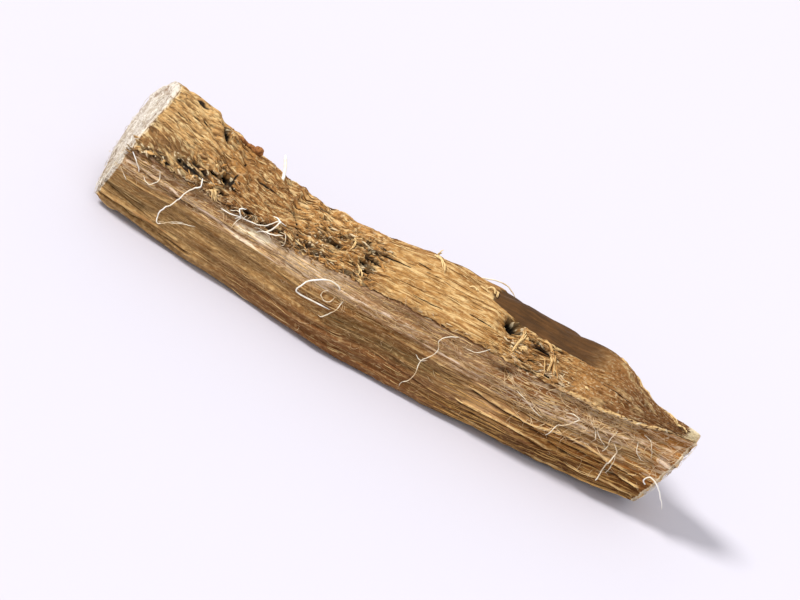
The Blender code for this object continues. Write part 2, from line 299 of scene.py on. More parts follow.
# The bark: a torn sheet over the top and back, with oblique wrinkles at the left and smooth in the middle.
bark = {
    "around": 300, "outer": 256, "thickness": 0.30, "sunk": 0.95, "sunkDeep": 1.7, "lift": 0.05,
    "spread": ((0.0, 0.0), (0.02, 0.002), (0.66, 0.50), (1.0, 1.0)),
    "edgeLine": (
        (-30, 0.018), (-26, 0.015), (-22, 0.008), (-18, 0.003), (-14, -0.006), (-10, -0.009), (-5, 0.0),
        (0, 0.003), (8, 0.001), (15, -0.008), (20, -0.012), (24, -0.007), (26, 0.016), (30, 0.055),
    ),
    "edgeWander": 0.0050, "edgeWanderSize": 1.7, "edgeFray": 0.0065, "edgeFraySize": 0.47,
    "frayLine": ((-30, 1.2), (-12, 1.3), (-4, 1.0), (-2, 0.35), (8, 0.35), (10, 0.8), (16, 0.4), (30, 0.3)),
    "backTurn": 0.53, "setBack": 0.12, "setBackRagged": 0.16,
    "rough": (
        (-28, 0.8), (-19, 1.0), (-12, 1.0), (-10, 1.3), (-4.5, 1.2), (-2, 0.42), (8, 0.42), (10, 1.3),
        (14, 1.2), (16, 0.6), (19, 0.45), (28, 0.45),
    ),
    "rugged": (
        (-30, 0.10), (-24, 0.25), (-21.5, 0.65), (-17.5, 0.5), (-15, 0.25), (-12, 0.45), (-10.5, 1.1),
        (-4, 1.1), (-2.6, 0.15), (7.5, 0.05), (9.5, 0.9), (14.5, 0.8), (16.5, 0.3), (30, 0.3),
    ),
    "leanLine": (  # how far the wrinkles have climbed over the bark, in millimetres
        (-30, 4.6), (-28, 3.9), (-24, 2.5), (-20, 1.4), (-17, 0.75), (-15, 0.42), (-12, 0.12), (-9, 0.0),
        (30, 0.0),
    ),
    "leanShare": ((-0.05, 1.0), (0.09, 1.0), (0.20, 0.0), (0.26, -0.3), (0.36, 0.0), (0.6, 0.0)),
    "wander": 0.26, "wanderSize": 2.2, "waver": 0.15, "waverSize": 0.9,
    "wrinkleSize": 0.44, "wrinkleStretch": 5.5, "wrinkleEdge": 0.24, "wrinkleDepth": 0.13,
    "dashSize": 0.31, "dashStretch": 4.2, "dashEdge": (0.10, 0.36), "dashDepth": 0.10,
    "fineSize": 0.18, "fineHeight": 0.06,
    "coarser": 1.35, "coarseTo": -20.0, "fineFrom": -15.0,
    "lumpSize": 0.95, "lumpStretch": 2.0, "lumpHeight": 0.10,
    "crackSize": 0.52, "crackStretch": 6.0, "crackEdge": 0.13, "crackDepth": 0.34,
    "chunkSize": 0.8, "chunkStretch": 4.5, "chunkHeight": 0.16, "blur": 0.9,
    "plateStart": -18.3, "plateHeight": 0.10,
    "plateEnd": ((-0.02, -10.9), (0.025, -11.0), (0.057, -11.4), (0.116, -12.4), (0.134, -12.8),
     (0.297, -12.0)),
    "stripLine": (
        (6.4, 0.172), (7, 0.156), (9, 0.142), (12, 0.129), (15, 0.120), (17.6, 0.116), (19.0, 0.122),
        (20.4, 0.14),
    ),
    "stripStart": 6.5, "stripFade": 16.6, "stripEnd": 20.4, "stripTop": 0.285, "stripDepth": 0.14,
    "stripSlant": 24.0, "stripBend": 0.21,
    "lipStart": 14.5, "lipFull": 17.5, "lipHeight": 0.24, "lipWidth": 0.30, "lipFrom": 0.26,
    "curlHeight": 0.10, "curlWidth": 0.25, "curlFrom": 0.1, "rimHeight": 0.12, "rimWidth": 0.13,
    "pitRagged": 0.45, "pitEdge": (0.60, 1.10), "pitRim": 0.16, "splitRagged": 0.10,
    "edgeDeepest": 0.26, "deepest": 1.15,
    "frayLeft": 0.30, "frayRight": 2.4,
}
barkPits = (  # x, turn, half length, half width, depth: small ragged holes
    (-7.5, 0.075, 0.85, 0.40, 1.2), (-4.0, 0.040, 0.30, 0.55, 1.2), (-4.6, 0.066, 0.75, 0.16, 0.6),
    (9.65, 0.112, 0.82, 0.80, 1.45), (-18.95, 0.069, 0.45, 0.58, 1.2), (-23.45, 0.041, 0.17, 0.16, 0.5),
    (-20.1, 0.064, 0.45, 0.20, 0.5),
    (-9.4, 0.062, 0.45, 0.16, 0.6), (-7.2, 0.120, 0.75, 0.14, 0.5), (-5.3, 0.139, 0.75, 0.15, 0.6),
    (-4.5, 0.104, 0.95, 0.12, 0.5), (-4.0, 0.082, 0.70, 0.11, 0.5), (-8.9, 0.100, 0.55, 0.14, 0.5),
    (-17.9, 0.052, 0.35, 0.14, 0.4), (-10.2, 0.020, 0.30, 0.12, 0.5), (-8.7, 0.004, 0.45, 0.16, 0.5),
    (11.9, 0.092, 0.50, 0.20, 0.6), (13.2, 0.080, 0.80, 0.16, 0.3), (12.6, 0.032, 0.30, 0.12, 0.4),
    (11.7, 0.016, 0.45, 0.12, 0.4), (14.4, 0.010, 0.30, 0.12, 0.4), (-24.4, 0.020, 0.26, 0.16, 0.7),
    (-25.0, 0.016, 0.22, 0.12, 0.5), (-25.9, 0.018, 0.25, 0.14, 0.5), (-16.0, 0.012, 0.55, 0.12, 0.5),
    (-14.2, 0.006, 0.40, 0.14, 0.5), (-18.9, 0.022, 0.40, 0.16, 0.6), (-12.6, 0.010, 0.30, 0.14, 0.5),
    (-20.75, 0.190, 0.20, 0.28, 0.9), (-10.6, 0.33, 0.7, 0.4, 0.8), (-24.0, 0.44, 1.0, 0.3, 0.7),
    (14.5, 0.34, 0.9, 0.3, 0.7),
)
barkSplits = (  # x and turn at each end, width and depth
    (-21.7, 0.212, -20.7, 0.162, 0.28, 0.80), (-24.9, 0.220, -23.8, 0.206, 0.24, 0.22),
    (-23.0, 0.040, -21.2, 0.032, 0.16, 0.30), (-22.2, 0.056, -20.6, 0.046, 0.10, 0.3),
    (-10.4, 0.128, -8.3, 0.122, 0.07, 0.3), (-9.8, 0.108, -7.9, 0.104, 0.06, 0.25),
    (-10.0, 0.088, -8.6, 0.082, 0.07, 0.3), (-6.6, 0.124, -4.4, 0.118, 0.08, 0.35),
    (-7.4, 0.158, -5.2, 0.155, 0.06, 0.25), (-4.8, 0.150, -2.6, 0.142, 0.08, 0.35),
    (-9.9, 0.046, -7.2, 0.040, 0.07, 0.3), (-6.4, 0.054, -5.0, 0.046, 0.07, 0.3),
    (-3.8, 0.132, -2.0, 0.126, 0.06, 0.25), (-18.2, 0.165, -18.4, 0.055, 0.05, 0.16),
    (-16.4, 0.138, -13.4, 0.128, 0.08, 0.25), (-15.2, 0.182, -12.8, 0.176, 0.08, 0.25),
    (-8.9, 0.150, -6.4, 0.146, 0.09, 0.25), (-3.6, 0.118, -1.0, 0.116, 0.07, 0.2),
    (5.6, 0.070, 8.2, 0.068, 0.05, 0.10), (0.4, 0.040, 3.4, 0.042, 0.05, 0.10),
    (-12.6, 0.120, -11.0, 0.026, 0.06, 0.16), (19.0, 0.075, 22.6, 0.066, 0.05, 0.10),
    (0.6, 0.136, 2.0, 0.132, 0.06, 0.2), (-0.6, 0.150, 0.8, 0.150, 0.05, 0.15),
    (-6.1, 0.141, -4.5, 0.136, 0.08, 0.3), (-5.8, 0.110, -3.2, 0.098, 0.08, 0.3),
    (-5.2, 0.087, -3.0, 0.077, 0.07, 0.3), (-26.0, 0.146, -24.6, 0.138, 0.05, 0.14),
    (-23.6, 0.166, -22.4, 0.160, 0.06, 0.18), (26.6, 0.186, 27.5, 0.100, 0.10, 0.4),
)
barkStains = (  # x, turn, half length, half width of the dark dried patches
    (-22.2, 0.036, 2.0, 0.95), (-18.95, 0.066, 1.2, 1.3), (-8.2, 0.080, 1.8, 1.0), (-4.2, 0.056, 0.8, 0.9),
    (-4.8, 0.115, 1.6, 0.7), (9.7, 0.112, 1.1, 1.1), (12.8, 0.086, 1.1, 0.5), (-15.4, 0.008, 2.6, 0.4),
    (-9.6, 0.010, 2.0, 0.5), (-25.6, 0.024, 1.6, 0.55), (-20.4, 0.060, 0.8, 0.6), (-21.3, 0.205, 0.5, 0.5),
    (-10.6, 0.33, 2.0, 1.4), (14.5, 0.34, 2.4, 1.2), (-24.0, 0.44, 2.6, 1.2),
)
barkSwells = (  # x, turn, half length, half width, height: where the crown stands a little fuller or flatter
    (-21.4, 0.230, 1.6, 2.2, 0.30), (-15.3, 0.240, 1.7, 2.4, 0.30), (-8.5, 0.240, 3.6, 2.4, 0.24),
    (-4.8, 0.240, 2.0, 2.4, 0.22), (0.4, 0.235, 3.2, 2.4, 0.36), (8.4, 0.240, 2.6, 2.8, 0.20),
    (13.6, 0.240, 4.4, 2.8, 0.44), (19.2, 0.230, 1.8, 2.4, 0.06), (22.6, 0.205, 2.0, 2.6, -0.32),
)
barkRims = (  # x and turn at each end of the pale lines along the outline, a painted highlight on a slightly raised rim: along the slanting facet and round to the end
    (19.6, 0.222, 22.0, 0.214), (22.0, 0.214, 24.4, 0.204), (24.4, 0.204, 26.0, 0.196),
    (26.0, 0.196, 26.9, 0.160), (26.9, 0.160, 27.4, 0.100),
)


def barkAcross(x, over):  # tells places on the same wrinkle the same number
    lean = lineAt(bark["leanLine"], x) * lineAt(bark["leanShare"], over / rootForm["girth"])
    wander = bark["wander"] * grain(x, over, 0.0, bark["wanderSize"], 1.6, 5.0)
    return over - lean + wander + bark["waver"] * grain(x, over, 0.0, bark["waverSize"], 1.3, 6.0)


def barkStainAt(x, turn, across):
    stain = np.zeros_like(x)
    for spot in barkStains:
        stain = np.maximum(stain, bump(spotDistance(x, turn, spot), 1.0))
    return np.clip(stain * (1.0 + 1.2 * grain(x, across, 4.0, 0.42, 2.0, 43.0)), 0, 1)


def barkEdgeAt(xs):
    wander = bark["edgeWander"] * grain(xs, 0.0, 0.0, bark["edgeWanderSize"], 1.0, 3.7)
    fray = grain(xs, 0.0, 0.0, bark["edgeFraySize"], 1.0, 8.1)
    fray += 0.5 * grain(xs, 4.0, 0.0, bark["edgeFraySize"] / 2.3)
    return lineAt(bark["edgeLine"], xs) + wander + bark["edgeFray"] * fray * lineAt(bark["frayLine"], xs)


def coarseThenFine(x, across, size, stretch, layer, offset):  # noise that is larger at the root's left
    coarse = grain(x, across, layer, size * bark["coarser"], stretch, offset)
    fine = grain(x, across, layer, size, stretch, offset)
    return coarse + (fine - coarse) * ease(x, bark["coarseTo"], bark["fineFrom"])


def barkRelief(x, turn, toEdge):  # the bark's own height over the solid's form, and what its finish is told
    b = bark
    over = turn * rootForm["girth"]
    across = barkAcross(x, over)
    ragged = grain(x, over, 0.0, 0.42, 1.5, 41.0)
    stripEdge = lineAt(b["stripLine"], x) + 0.003 * grain(x, over, 0.0, 0.6, 2.0, 12.0) + 0.0015 * ragged
    stripTop = b["stripTop"] + 0.050 * grain(x, over, 0.0, 1.6, 2.5, 14.0) + 0.014 * ragged
    stripX = x + 0.35 * grain(x, over, 0.0, 0.7, 1.0, 15.0) + 0.25 * ragged
    stripX -= b["stripSlant"] * np.maximum(turn - b["stripBend"], 0)
    strip = ease(turn - stripEdge, -0.002, 0.002) * (1 - ease(turn - stripTop, 0.0, 0.03))
    strip *= within(stripX, b["stripStart"], b["stripStart"] + 0.5, b["stripFade"], b["stripEnd"])
    blurred = x + b["blur"] * (ragged + grain(x, over, 0.0, 1.4, 1.5, 47.0))
    rough = lineAt(b["rough"], blurred) * (1 - 0.85 * strip)
    rugged = lineAt(b["rugged"], blurred) * (1 - strip)
    folds = coarseThenFine(x, across, b["wrinkleSize"], b["wrinkleStretch"], 0.0, 11.0)
    wrinkles = creases(folds, b["wrinkleEdge"])
    dashes = ease(-coarseThenFine(x, across, b["dashSize"], b["dashStretch"], 3.3, 17.0), *b["dashEdge"])
    fine = coarseThenFine(x, across, b["fineSize"], b["dashStretch"], 7.7, 19.0)
    lumps = grain(x, across, 1.0, b["lumpSize"], b["lumpStretch"], 21.0)
    cracks = creases(grain(x, across, 5.5, b["crackSize"], b["crackStretch"], 51.0), b["crackEdge"])
    chunks = grain(x, across, 9.0, b["chunkSize"], b["chunkStretch"], 53.0)
    height = b["lift"] + rough * (b["lumpHeight"] * lumps + b["fineHeight"] * fine)
    height -= rough * (b["wrinkleDepth"] * wrinkles + b["dashDepth"] * dashes)
    height += rugged * (b["chunkHeight"] * chunks - b["crackDepth"] * cracks)
    plateEnd = np.interp(turn, *np.array(b["plateEnd"]).T) + 0.15 * grain(x, over, 0.0, 0.7, 1.0, 6.0)
    plate = ease(plateEnd - x, -0.06, 0.30) * ease(x - b["plateStart"], -0.1, 0.3)
    height += b["plateHeight"] * plate * (1 - ease(turn, 0.30, 0.33)) - b["stripDepth"] * strip
    for swell in barkSwells:
        height += swell[4] * bump(spotDistance(x, turn, swell), 1.0)
    pits = np.zeros_like(x)
    for pit in barkPits:
        away = spotDistance(x, turn, pit) + b["pitRagged"] * ragged
        inside = 1 - ease(away, *b["pitEdge"])
        height += b["pitRim"] * bump(away - 1.5, 0.35) * rough - pit[4] * inside
        pits = np.maximum(pits, inside)
    depth, dark = splitsIn(barkSplits, x, turn, b["splitRagged"] * ragged)
    height -= depth
    lipped = ease(x, b["lipStart"], b["lipFull"])
    lip = lipped * bump(toEdge - b["lipFrom"], b["lipWidth"])
    curl = (1 - lipped) * bump(toEdge - b["curlFrom"], b["curlWidth"])
    height += b["lipHeight"] * lip + b["curlHeight"] * curl * (1 + grain(x, 0.0, 0.0, 0.5, 1.0, 2.0))
    rim = np.zeros_like(x)
    for edge in barkRims:
        rim = np.maximum(rim, bump(splitDistance(x, turn, edge)[0] + 0.05 * ragged, b["rimWidth"]))
    height += b["rimHeight"] * rim
    deepest = b["edgeDeepest"] + (b["deepest"] - b["edgeDeepest"]) * ease(toEdge, 0.5, 1.3)
    height = np.maximum(height, -deepest)  # no hole goes through to the wood
    # Painted shade: hollowShade darkens the bark where its wrinkles, dashes and cracks sink in.
    hollowShade = rough * (0.30 * wrinkles + 0.50 * dashes) + rugged * 0.85 * cracks
    return height, {
        # pit marks the pits and splits, which are painted near black as shade
        "across": across, "hollowShade": hollowShade, "pit": np.maximum(pits, dark),
        # lip also carries the rims, whose pale colour is a painted highlight along the outline
        "stain": barkStainAt(x, turn, across), "strip": strip, "lip": np.maximum(lip + 0.4 * curl, rim),
        "plate": plate, "rugged": rugged,
    }


# The split wood: long fibres from cut to cut, pale bast beside the bark, deep grooves towards the right.
wood = {
    "around": 256, "cutRings": 16, "underBark": 0.34, "underDeep": 1.3, "flare": 0.45,
    "spread": ((0.0, 0.26), (0.06, 0.014), (0.66, -0.235), (0.92, -0.465), (1.0, -0.74)),
    "bandLine": (
        (-30, -0.080), (-24, -0.070), (-10, -0.072), (-4, -0.060), (4, -0.080), (9, -0.094), (16, -0.112),
        (20, -0.122), (30, -0.138),
    ),
    "rough": ((-30, 0.30), (-24, 0.26), (-16, 0.22), (-9, 0.30), (-2, 0.45), (6, 0.6), (10, 0.85), (28, 0.9)),
    "ridgeSize": 0.66, "ridgeStretch": 22.0, "ridgeHeight": 0.14, "ridgeEdge": 0.14,
    "fibreSize": 0.26, "fibreStretch": 14.0, "fibreHeight": 0.09, "fibreEdge": 0.25,
    "bundleSize": 1.0, "bundleStretch": 14.0, "bundleHeight": 0.12,
    "cavityDepth": 0.36, "cutTuft": 0.16, "cutTuftSize": 0.34, "frayLeft": 0.3, "frayRight": 0.5,
    "fullShadeDepth": 0.24,  # a gap as deep as this or deeper is painted fully dark, as shade in it
    "cavityX": (17.5, 20.5, 26.4, 27.6), "cavityDown": (0.196, 0.206, 0.228, 0.245),
    "redX": (-19.0, -12.0, 8.0, 14.0), "redDown": (0.140, 0.165, 0.225, 0.25),
    "oliveX": (-8.0, -3.0, 6.0, 11.0),
}
woodCords = (  # half width and height of each raised strand, then x and how far down it shows
    (0.16, 0.28, (8.2, 3.75), (9.1, 3.3), (12.8, 3.33), (15.1, 3.2), (18.3, 2.4), (20.6, 2.25), (23.2, 2.4),
     (25.5, 2.4)),
    (0.16, 0.28, (8.2, 4.85), (10.1, 4.7), (14.1, 4.27), (18.6, 4.27)),
    (0.20, 0.36, (23.9, 3.12), (27.4, 3.14)),
    (0.13, 0.28, (19.6, 4.7), (21.4, 4.5), (23.3, 4.15), (24.8, 4.05), (26.2, 4.12), (26.9, 4.3),
     (27.5, 4.9)),
    (0.10, 0.12, (8.4, 6.0), (12.6, 5.9)), (0.10, 0.12, (16.0, 5.75), (20.4, 5.6)),
    (0.12, 0.12, (8.8, 2.62), (12.4, 2.6)), (0.10, 0.12, (0.0, 2.95), (3.6, 2.9), (7.6, 2.85)),
    (0.12, 0.06, (-27.8, 2.9), (-24.6, 2.95), (-21.6, 2.95)),
    (0.24, 0.22, (-29.4, 5.15), (-26.0, 5.12), (-22.7, 5.35), (-19.4, 5.7)),
    (0.20, 0.16, (-30.0, 5.8), (-26.0, 5.85)), (0.10, 0.08, (-11.8, 3.1), (-7.5, 3.2), (-4.9, 3.1)),
    (0.10, 0.10, (23.4, 2.55), (25.0, 2.5), (25.3, 2.6), (26.7, 2.1)),
)
woodGaps = (  # half width and depth of each gap, which is painted dark as shade, then x and how far down it shows
    (0.06, -0.14, (-27.8, 1.98), (-25.2, 1.88), (-23.1, 2.0)),
    (0.07, -0.16, (-23.4, 2.45), (-21.6, 2.4), (-19.6, 2.4)),
    (0.11, -0.34, (-29.6, 4.6), (-28.0, 4.42), (-27.1, 4.57), (-26.2, 4.62)),
    (0.08, -0.26, (-26.8, 4.6), (-25.4, 4.84), (-23.4, 5.05)),
    (0.11, -0.40, (-29.8, 5.45), (-26.9, 5.45), (-25.8, 5.5), (-25.0, 5.76), (-23.6, 5.85), (-21.2, 5.95),
     (-18.2, 6.15)),
    (0.13, -0.40, (-29.6, 3.5), (-28.5, 3.56)), (0.05, -0.12, (-11.8, 3.3), (-7.5, 3.4), (-4.9, 3.3)),
    (0.05, -0.08, (-4.8, 3.85), (-1.0, 3.78), (1.2, 3.72)),
    (0.05, -0.10, (2.4, 3.6), (5.0, 3.75), (8.4, 3.9)), (0.12, -0.14, (0.6, 4.75), (2.6, 4.7), (4.6, 4.8)),
    (0.07, -0.16, (-0.6, 5.35), (4.0, 5.3), (8.4, 5.6)),
    (0.06, -0.14, (-6.0, 4.9), (-3.0, 5.25), (-0.4, 5.3)),
    (0.05, -0.12, (-9.0, 4.6), (-5.0, 4.75), (-2.6, 4.55)),
    (0.10, -0.26, (8.8, 3.62), (12.8, 3.64), (15.2, 3.5), (18.3, 2.75), (20.6, 2.6), (23.4, 2.75),
     (25.6, 2.75)),
    (0.11, -0.30, (8.2, 5.2), (10.1, 5.05), (14.1, 4.65), (18.8, 4.62)),
    (0.12, -0.30, (14.8, 3.85), (20.0, 3.4), (23.4, 3.3)),
    (0.20, -0.34, (22.6, 3.55), (25.0, 3.55), (27.4, 3.6)),
    (0.14, -0.30, (17.0, 3.9), (19.0, 4.05), (22.0, 3.85), (23.6, 3.8)),
    (0.09, -0.22, (9.6, 5.55), (14.0, 5.3), (18.0, 5.2)),
    (0.28, -0.16, (9.9, 0.62), (11.1, 0.6), (12.2, 0.75)),
    (0.05, -0.10, (3.0, 2.45), (8.0, 2.3), (12.0, 2.2)),
    (0.05, -0.10, (-16.0, 3.6), (-12.0, 3.75), (-9.0, 3.7)),
)
woodWisps = (  # half width and height of each pale line in the bast, then x and how far down it shows
    (0.15, 0.06, (-28.1, 1.75), (-26.0, 1.6), (-23.9, 1.7), (-22.7, 1.8), (-21.4, 2.25), (-18.8, 2.1),
     (-17.6, 2.25), (-16.4, 2.5), (-13.0, 2.65), (-10.8, 2.7)),
    (0.50, 0.06, (-16.8, 1.85), (-15.6, 1.8), (-13.0, 1.6), (-11.6, 1.6)),
    (0.13, 0.06, (-11.8, 1.1), (-9.9, 1.25), (-6.8, 1.7), (-4.6, 1.8), (-2.4, 1.7), (0.6, 1.4), (2.6, 1.35)),
    (0.11, 0.06, (-11.8, 1.8), (-8.9, 2.25), (-6.8, 2.4), (-4.2, 2.35)),
    (0.10, 0.05, (-27.6, 0.95), (-25.0, 0.9), (-23.0, 1.2)),
    (0.10, 0.05, (1.0, 2.0), (4.0, 2.2), (7.4, 2.0), (10.0, 1.9)),
    (0.30, 0.10, (26.4, 0.1), (27.4, 0.1), (28.4, 0.2)),
    (0.12, 0.08, (17.0, 1.2), (20.0, 0.6), (23.0, 0.1), (26.0, -0.6)),
    (0.11, 0.08, (13.0, 1.7), (16.0, 1.6), (19.0, 1.1), (22.4, 1.0), (25.6, 0.4)),
)


def woodRelief(x, turn):  # the wood's own height over the solid's form, and what its finish is told
    w = wood
    over = turn * rootForm["girth"]
    across = over + 0.16 * grain(x, over, 0.0, 5.0, 2.5, 5.0)
    across += (0.10 - 0.07 * ease(x, 2.0, 9.0)) * grain(x, over, 0.0, 1.3, 2.4, 6.0)
    bandEdge = lineAt(w["bandLine"], x) + 0.008 * grain(x, across, 0.0, 0.8, 9.0, 13.0)
    band = ease(turn - bandEdge, -0.005, 0.005)
    rough = lineAt(w["rough"], x) * (1 - 0.55 * band)
    ridges = creases(grain(x, across, 0.0, w["ridgeSize"], w["ridgeStretch"], 23.0), w["ridgeEdge"])
    fibres = creases(grain(x, across, 4.0, w["fibreSize"], w["fibreStretch"], 29.0), w["fibreEdge"])
    bundles = grain(x, across, 8.0, w["bundleSize"], w["bundleStretch"], 31.0)
    height = rough * (w["ridgeHeight"] * ridges + w["fibreHeight"] * fibres + w["bundleHeight"] * bundles)
    cavity = within(x, *w["cavityX"]) * within(-turn, *w["cavityDown"])
    height -= w["cavityDepth"] * cavity
    wobble = 0.07 * grain(x, across, 0.0, 1.1, 1.6, 35.0) + 0.04 * grain(x, across, 0.0, 0.35, 1.5, 36.0)
    rise, cord = strandsAlong(woodCords, x, turn, wobble)
    depth, dark = strandsAlong(woodGaps, x, turn, wobble)
    wisp, pale = strandsAlong(woodWisps, x, turn, wobble)
    height += wisp + rise + depth
    blots = grain(x, across, 2.0, 0.5, 5.0, 37.0)
    olive = bump(turn + 0.128, 0.022) * within(x, *w["oliveX"])
    olive = np.maximum(olive, bump(turn + 0.148, 0.016) * (1 - ease(x, -25.5, -22.5)))
    olive = np.clip(olive * (1 + 1.3 * blots), 0, 1)
    red = within(x, *w["redX"]) * within(-turn, *w["redDown"])
    # Painted shade: deepShade darkens the cavity and the low split face towards the right.
    deepShade = np.maximum(cavity, ease(-turn, 0.170, 0.205) * ease(x, 4.0, 10.0))
    # Painted shade: hollowShade darkens the gaps and the low places between the bundles.
    hollowShade = dark + 0.25 * rough * np.clip(-bundles, 0, 1)
    # Painted highlight: crestHighlight lightens the tops of the ridges and fibres.
    crestHighlight = rough * (0.6 * ridges + 0.3 * fibres)
    return height, {
        "across": across, "hollowShade": hollowShade, "crestHighlight": crestHighlight, "cord": cord, "band": band, "pale": pale,
        "olive": olive, "red": red, "deepShade": deepShade,
    }


def choose(kind, test):  # selects only the faces or edges that pass a test, in edit mode
    bpy.ops.mesh.select_mode(type=kind)
    bpy.ops.mesh.select_all(action="DESELECT")
    bpy.ops.object.mode_set(mode="OBJECT")
    mesh = bpy.context.object.data
    parts = mesh.polygons if kind == "FACE" else mesh.edges
    for part in parts:
        part.select = test(mesh, part)
    bpy.ops.object.mode_set(mode="EDIT")


def runsAlong(mesh, edge):
    a, b = (mesh.vertices[n].co for n in edge.vertices)
    return abs(a.x - b.x) > 0.9 * (a - b).length


def roll(name, columns, cutRings):  # a finely divided cylinder, and each point's ring, column and inset
    bpy.ops.object.select_all(action="DESELECT")
    length, radius = 58 * mm, 5 * mm
    bpy.ops.mesh.primitive_cylinder_add(
        vertices=columns, radius=radius, depth=length, end_fill_type="NGON", rotation=(0, math.radians(90), 0)
    )
    made = bpy.context.object
    made.name = made.data.name = name
    bpy.ops.object.transform_apply(location=True, rotation=True, scale=True)
    bpy.ops.object.mode_set(mode="EDIT")
    for _ in range(2):
        choose("EDGE", runsAlong)
        bpy.ops.mesh.subdivide(number_cuts=math.isqrt(rounds["runs"]) - 1)
    choose("FACE", lambda mesh, face: len(face.vertices) > 4)
    ringGap = radius / (cutRings + 1)
    for _ in range(cutRings):
        bpy.ops.mesh.inset(thickness=ringGap, depth=0)
    bpy.ops.mesh.poke()
    bpy.ops.mesh.select_all(action="DESELECT")
    bpy.ops.object.mode_set(mode="OBJECT")
    places = np.zeros(len(made.data.vertices) * 3)
    made.data.vertices.foreach_get("co", places)
    places = places.reshape(-1, 3)
    ring = np.rint((places[:, 0] / length + 0.5) * rounds["runs"]).astype(int)
    angle = np.arctan2(places[:, 1], places[:, 2])
    column = np.rint(angle / math.tau * columns).astype(int) % columns
    inset = np.rint((radius - np.hypot(places[:, 1], places[:, 2])) / ringGap).astype(int)
    return made, ring, column, inset


def pointOutwards(merge=0.0):  # turns the faces outwards, after merging points that are nearer than told
    bpy.ops.object.mode_set(mode="EDIT")
    bpy.ops.mesh.select_all(action="SELECT")
    if merge:
        bpy.ops.mesh.remove_doubles(threshold=merge)
    bpy.ops.mesh.normals_make_consistent(inside=False)
    bpy.ops.mesh.select_all(action="DESELECT")
    bpy.ops.object.mode_set(mode="OBJECT")


def inHand(name, data):  # a new object, which is the only one selected
    made = bpy.data.objects.new(name, data)
    bpy.context.scene.collection.objects.link(made)
    bpy.ops.object.select_all(action="DESELECT")
    made.select_set(True)
    bpy.context.view_layer.objects.active = made
    return made


def tellMesh(mesh, name, values):  # a number for each point, which the finish reads
    mesh.attributes.new(name, "FLOAT", "POINT").data.foreach_set("value", values.astype(np.float32))


def shapeUp(made, places, marks):  # moves the points to their places and tells the mesh its marks
    made.data.vertices.foreach_set("co", setDown(places).astype(np.float32).ravel())
    for name, values in marks.items():
        tellMesh(made.data, name, values)
    pointOutwards()
    bpy.ops.object.shade_smooth_by_angle(angle=math.radians(70))
    print(made.name, len(made.data.vertices), "points", len(made.data.polygons), "faces")


fromLeft = ringShares * (rootForm["rightCut"] - rootForm["leftCut"])
fromRight = (1 - ringShares) * (rootForm["rightCut"] - rootForm["leftCut"])
fromCut = np.minimum(fromLeft, fromRight)


def frayedEnds(leftReach, rightReach, shape):  # 1 at the cuts, 0 from each reach on
    whole = np.minimum(ease(fromLeft, 0.0, leftReach), ease(fromRight, 0.1, rightReach))
    return np.broadcast_to(1 - whole, shape)


# The bark's columns run up its outer face from the torn edge to the heel, and back again inside the wood.
ridgeX = around(xTable[None], np.zeros_like(ringX))[0]
barkEdge = barkEdgeAt(ridgeX)
barkOut = np.interp(np.arange(bark["outer"]) / (bark["outer"] - 1), *np.array(bark["spread"]).T)
barkIn = np.linspace(1, 0, bark["around"] - bark["outer"])
barkOuterTurns = barkEdge + (bark["backTurn"] - barkEdge) * barkOut
barkInnerTurns = barkEdge + 0.006 + (bark["backTurn"] - barkEdge - 0.012) * barkIn
barkX = around(xTable[None], barkOuterTurns)[0]
barkHeight, barkMarks = barkRelief(barkX, barkOuterTurns, (barkOuterTurns - barkEdge) * rootForm["girth"])
barkMarks["fray"] = frayedEnds(bark["frayLeft"], bark["frayRight"], barkX.shape)
barkOuterHeight = around(plainTable, barkOuterTurns)[0] + barkHeight
barkSunk = bark["sunk"] + (bark["sunkDeep"] - bark["sunk"]) * ease(barkInnerTurns - barkEdge, 0.01, 0.04)
barkInnerHeight = around(plainTable, barkInnerTurns)[0] - np.where(
    (barkIn == 0) | (barkIn == 1), bark["thickness"], barkSunk
)
# The wood's columns run from under the bark down the split face, along the foot and up again under the bark.
woodOut = np.interp(np.arange(wood["around"]) / wood["around"], *np.array(wood["spread"]).T)
woodTurns = np.broadcast_to(woodOut, (len(ringX), wood["around"]))
woodHeight, woodMarks = woodRelief(around(xTable[None], woodTurns)[0], woodTurns)
woodMarks["toBark"] = np.clip((barkEdge - woodTurns) * rootForm["girth"], 0, 9)
woodMarks["fray"] = frayedEnds(wood["frayLeft"], wood["frayRight"], woodTurns.shape)
backEdge = bark["backTurn"] - 1
underBark = ease(woodTurns, barkEdge - 0.006, barkEdge + 0.004)
underBark = np.maximum(underBark, 1 - ease(woodTurns, backEdge - 0.004, backEdge + 0.006))
flare = ease(fromCut, wood["flare"] * 0.4, wood["flare"] * 1.6)
wellUnder = ease(woodTurns - barkEdge, 0.014, 0.034) + 1 - ease(woodTurns - backEdge, -0.034, -0.014)
woodHeight = woodHeight * (1 - underBark) + around(plainTable, woodTurns)[0]
woodHeight -= (wood["underBark"] * underBark + wood["underDeep"] * wellUnder) * flare


def barkSheet():
    made, ring, column, inset = roll("barkSheet", bark["around"], 0)
    outer = raised(barkOuterTurns, barkOuterHeight)
    inner = raised(barkInnerTurns, barkInnerHeight)
    places = np.concatenate([outer, inner], axis=1)
    back = bark["setBack"] + bark["setBackRagged"] * grain(0.0, places[..., 1], places[..., 2], 0.8)
    places[..., 0] += np.where(ringShares < 0.5, 1, -1) * np.clip(1 - fromCut / 2.0, 0, 1) * back
    marks = {name: np.concatenate([values, np.repeat(values[:, :1], inner.shape[1], axis=1)], axis=1)
             for name, values in barkMarks.items()}
    found = places[ring, column]
    for end in (0, rounds["runs"]):
        found[(inset > 0) & (ring == end)] = places[end].mean(axis=0)
    shapeUp(made, found, {name: values[ring, column] for name, values in marks.items()})
    return made


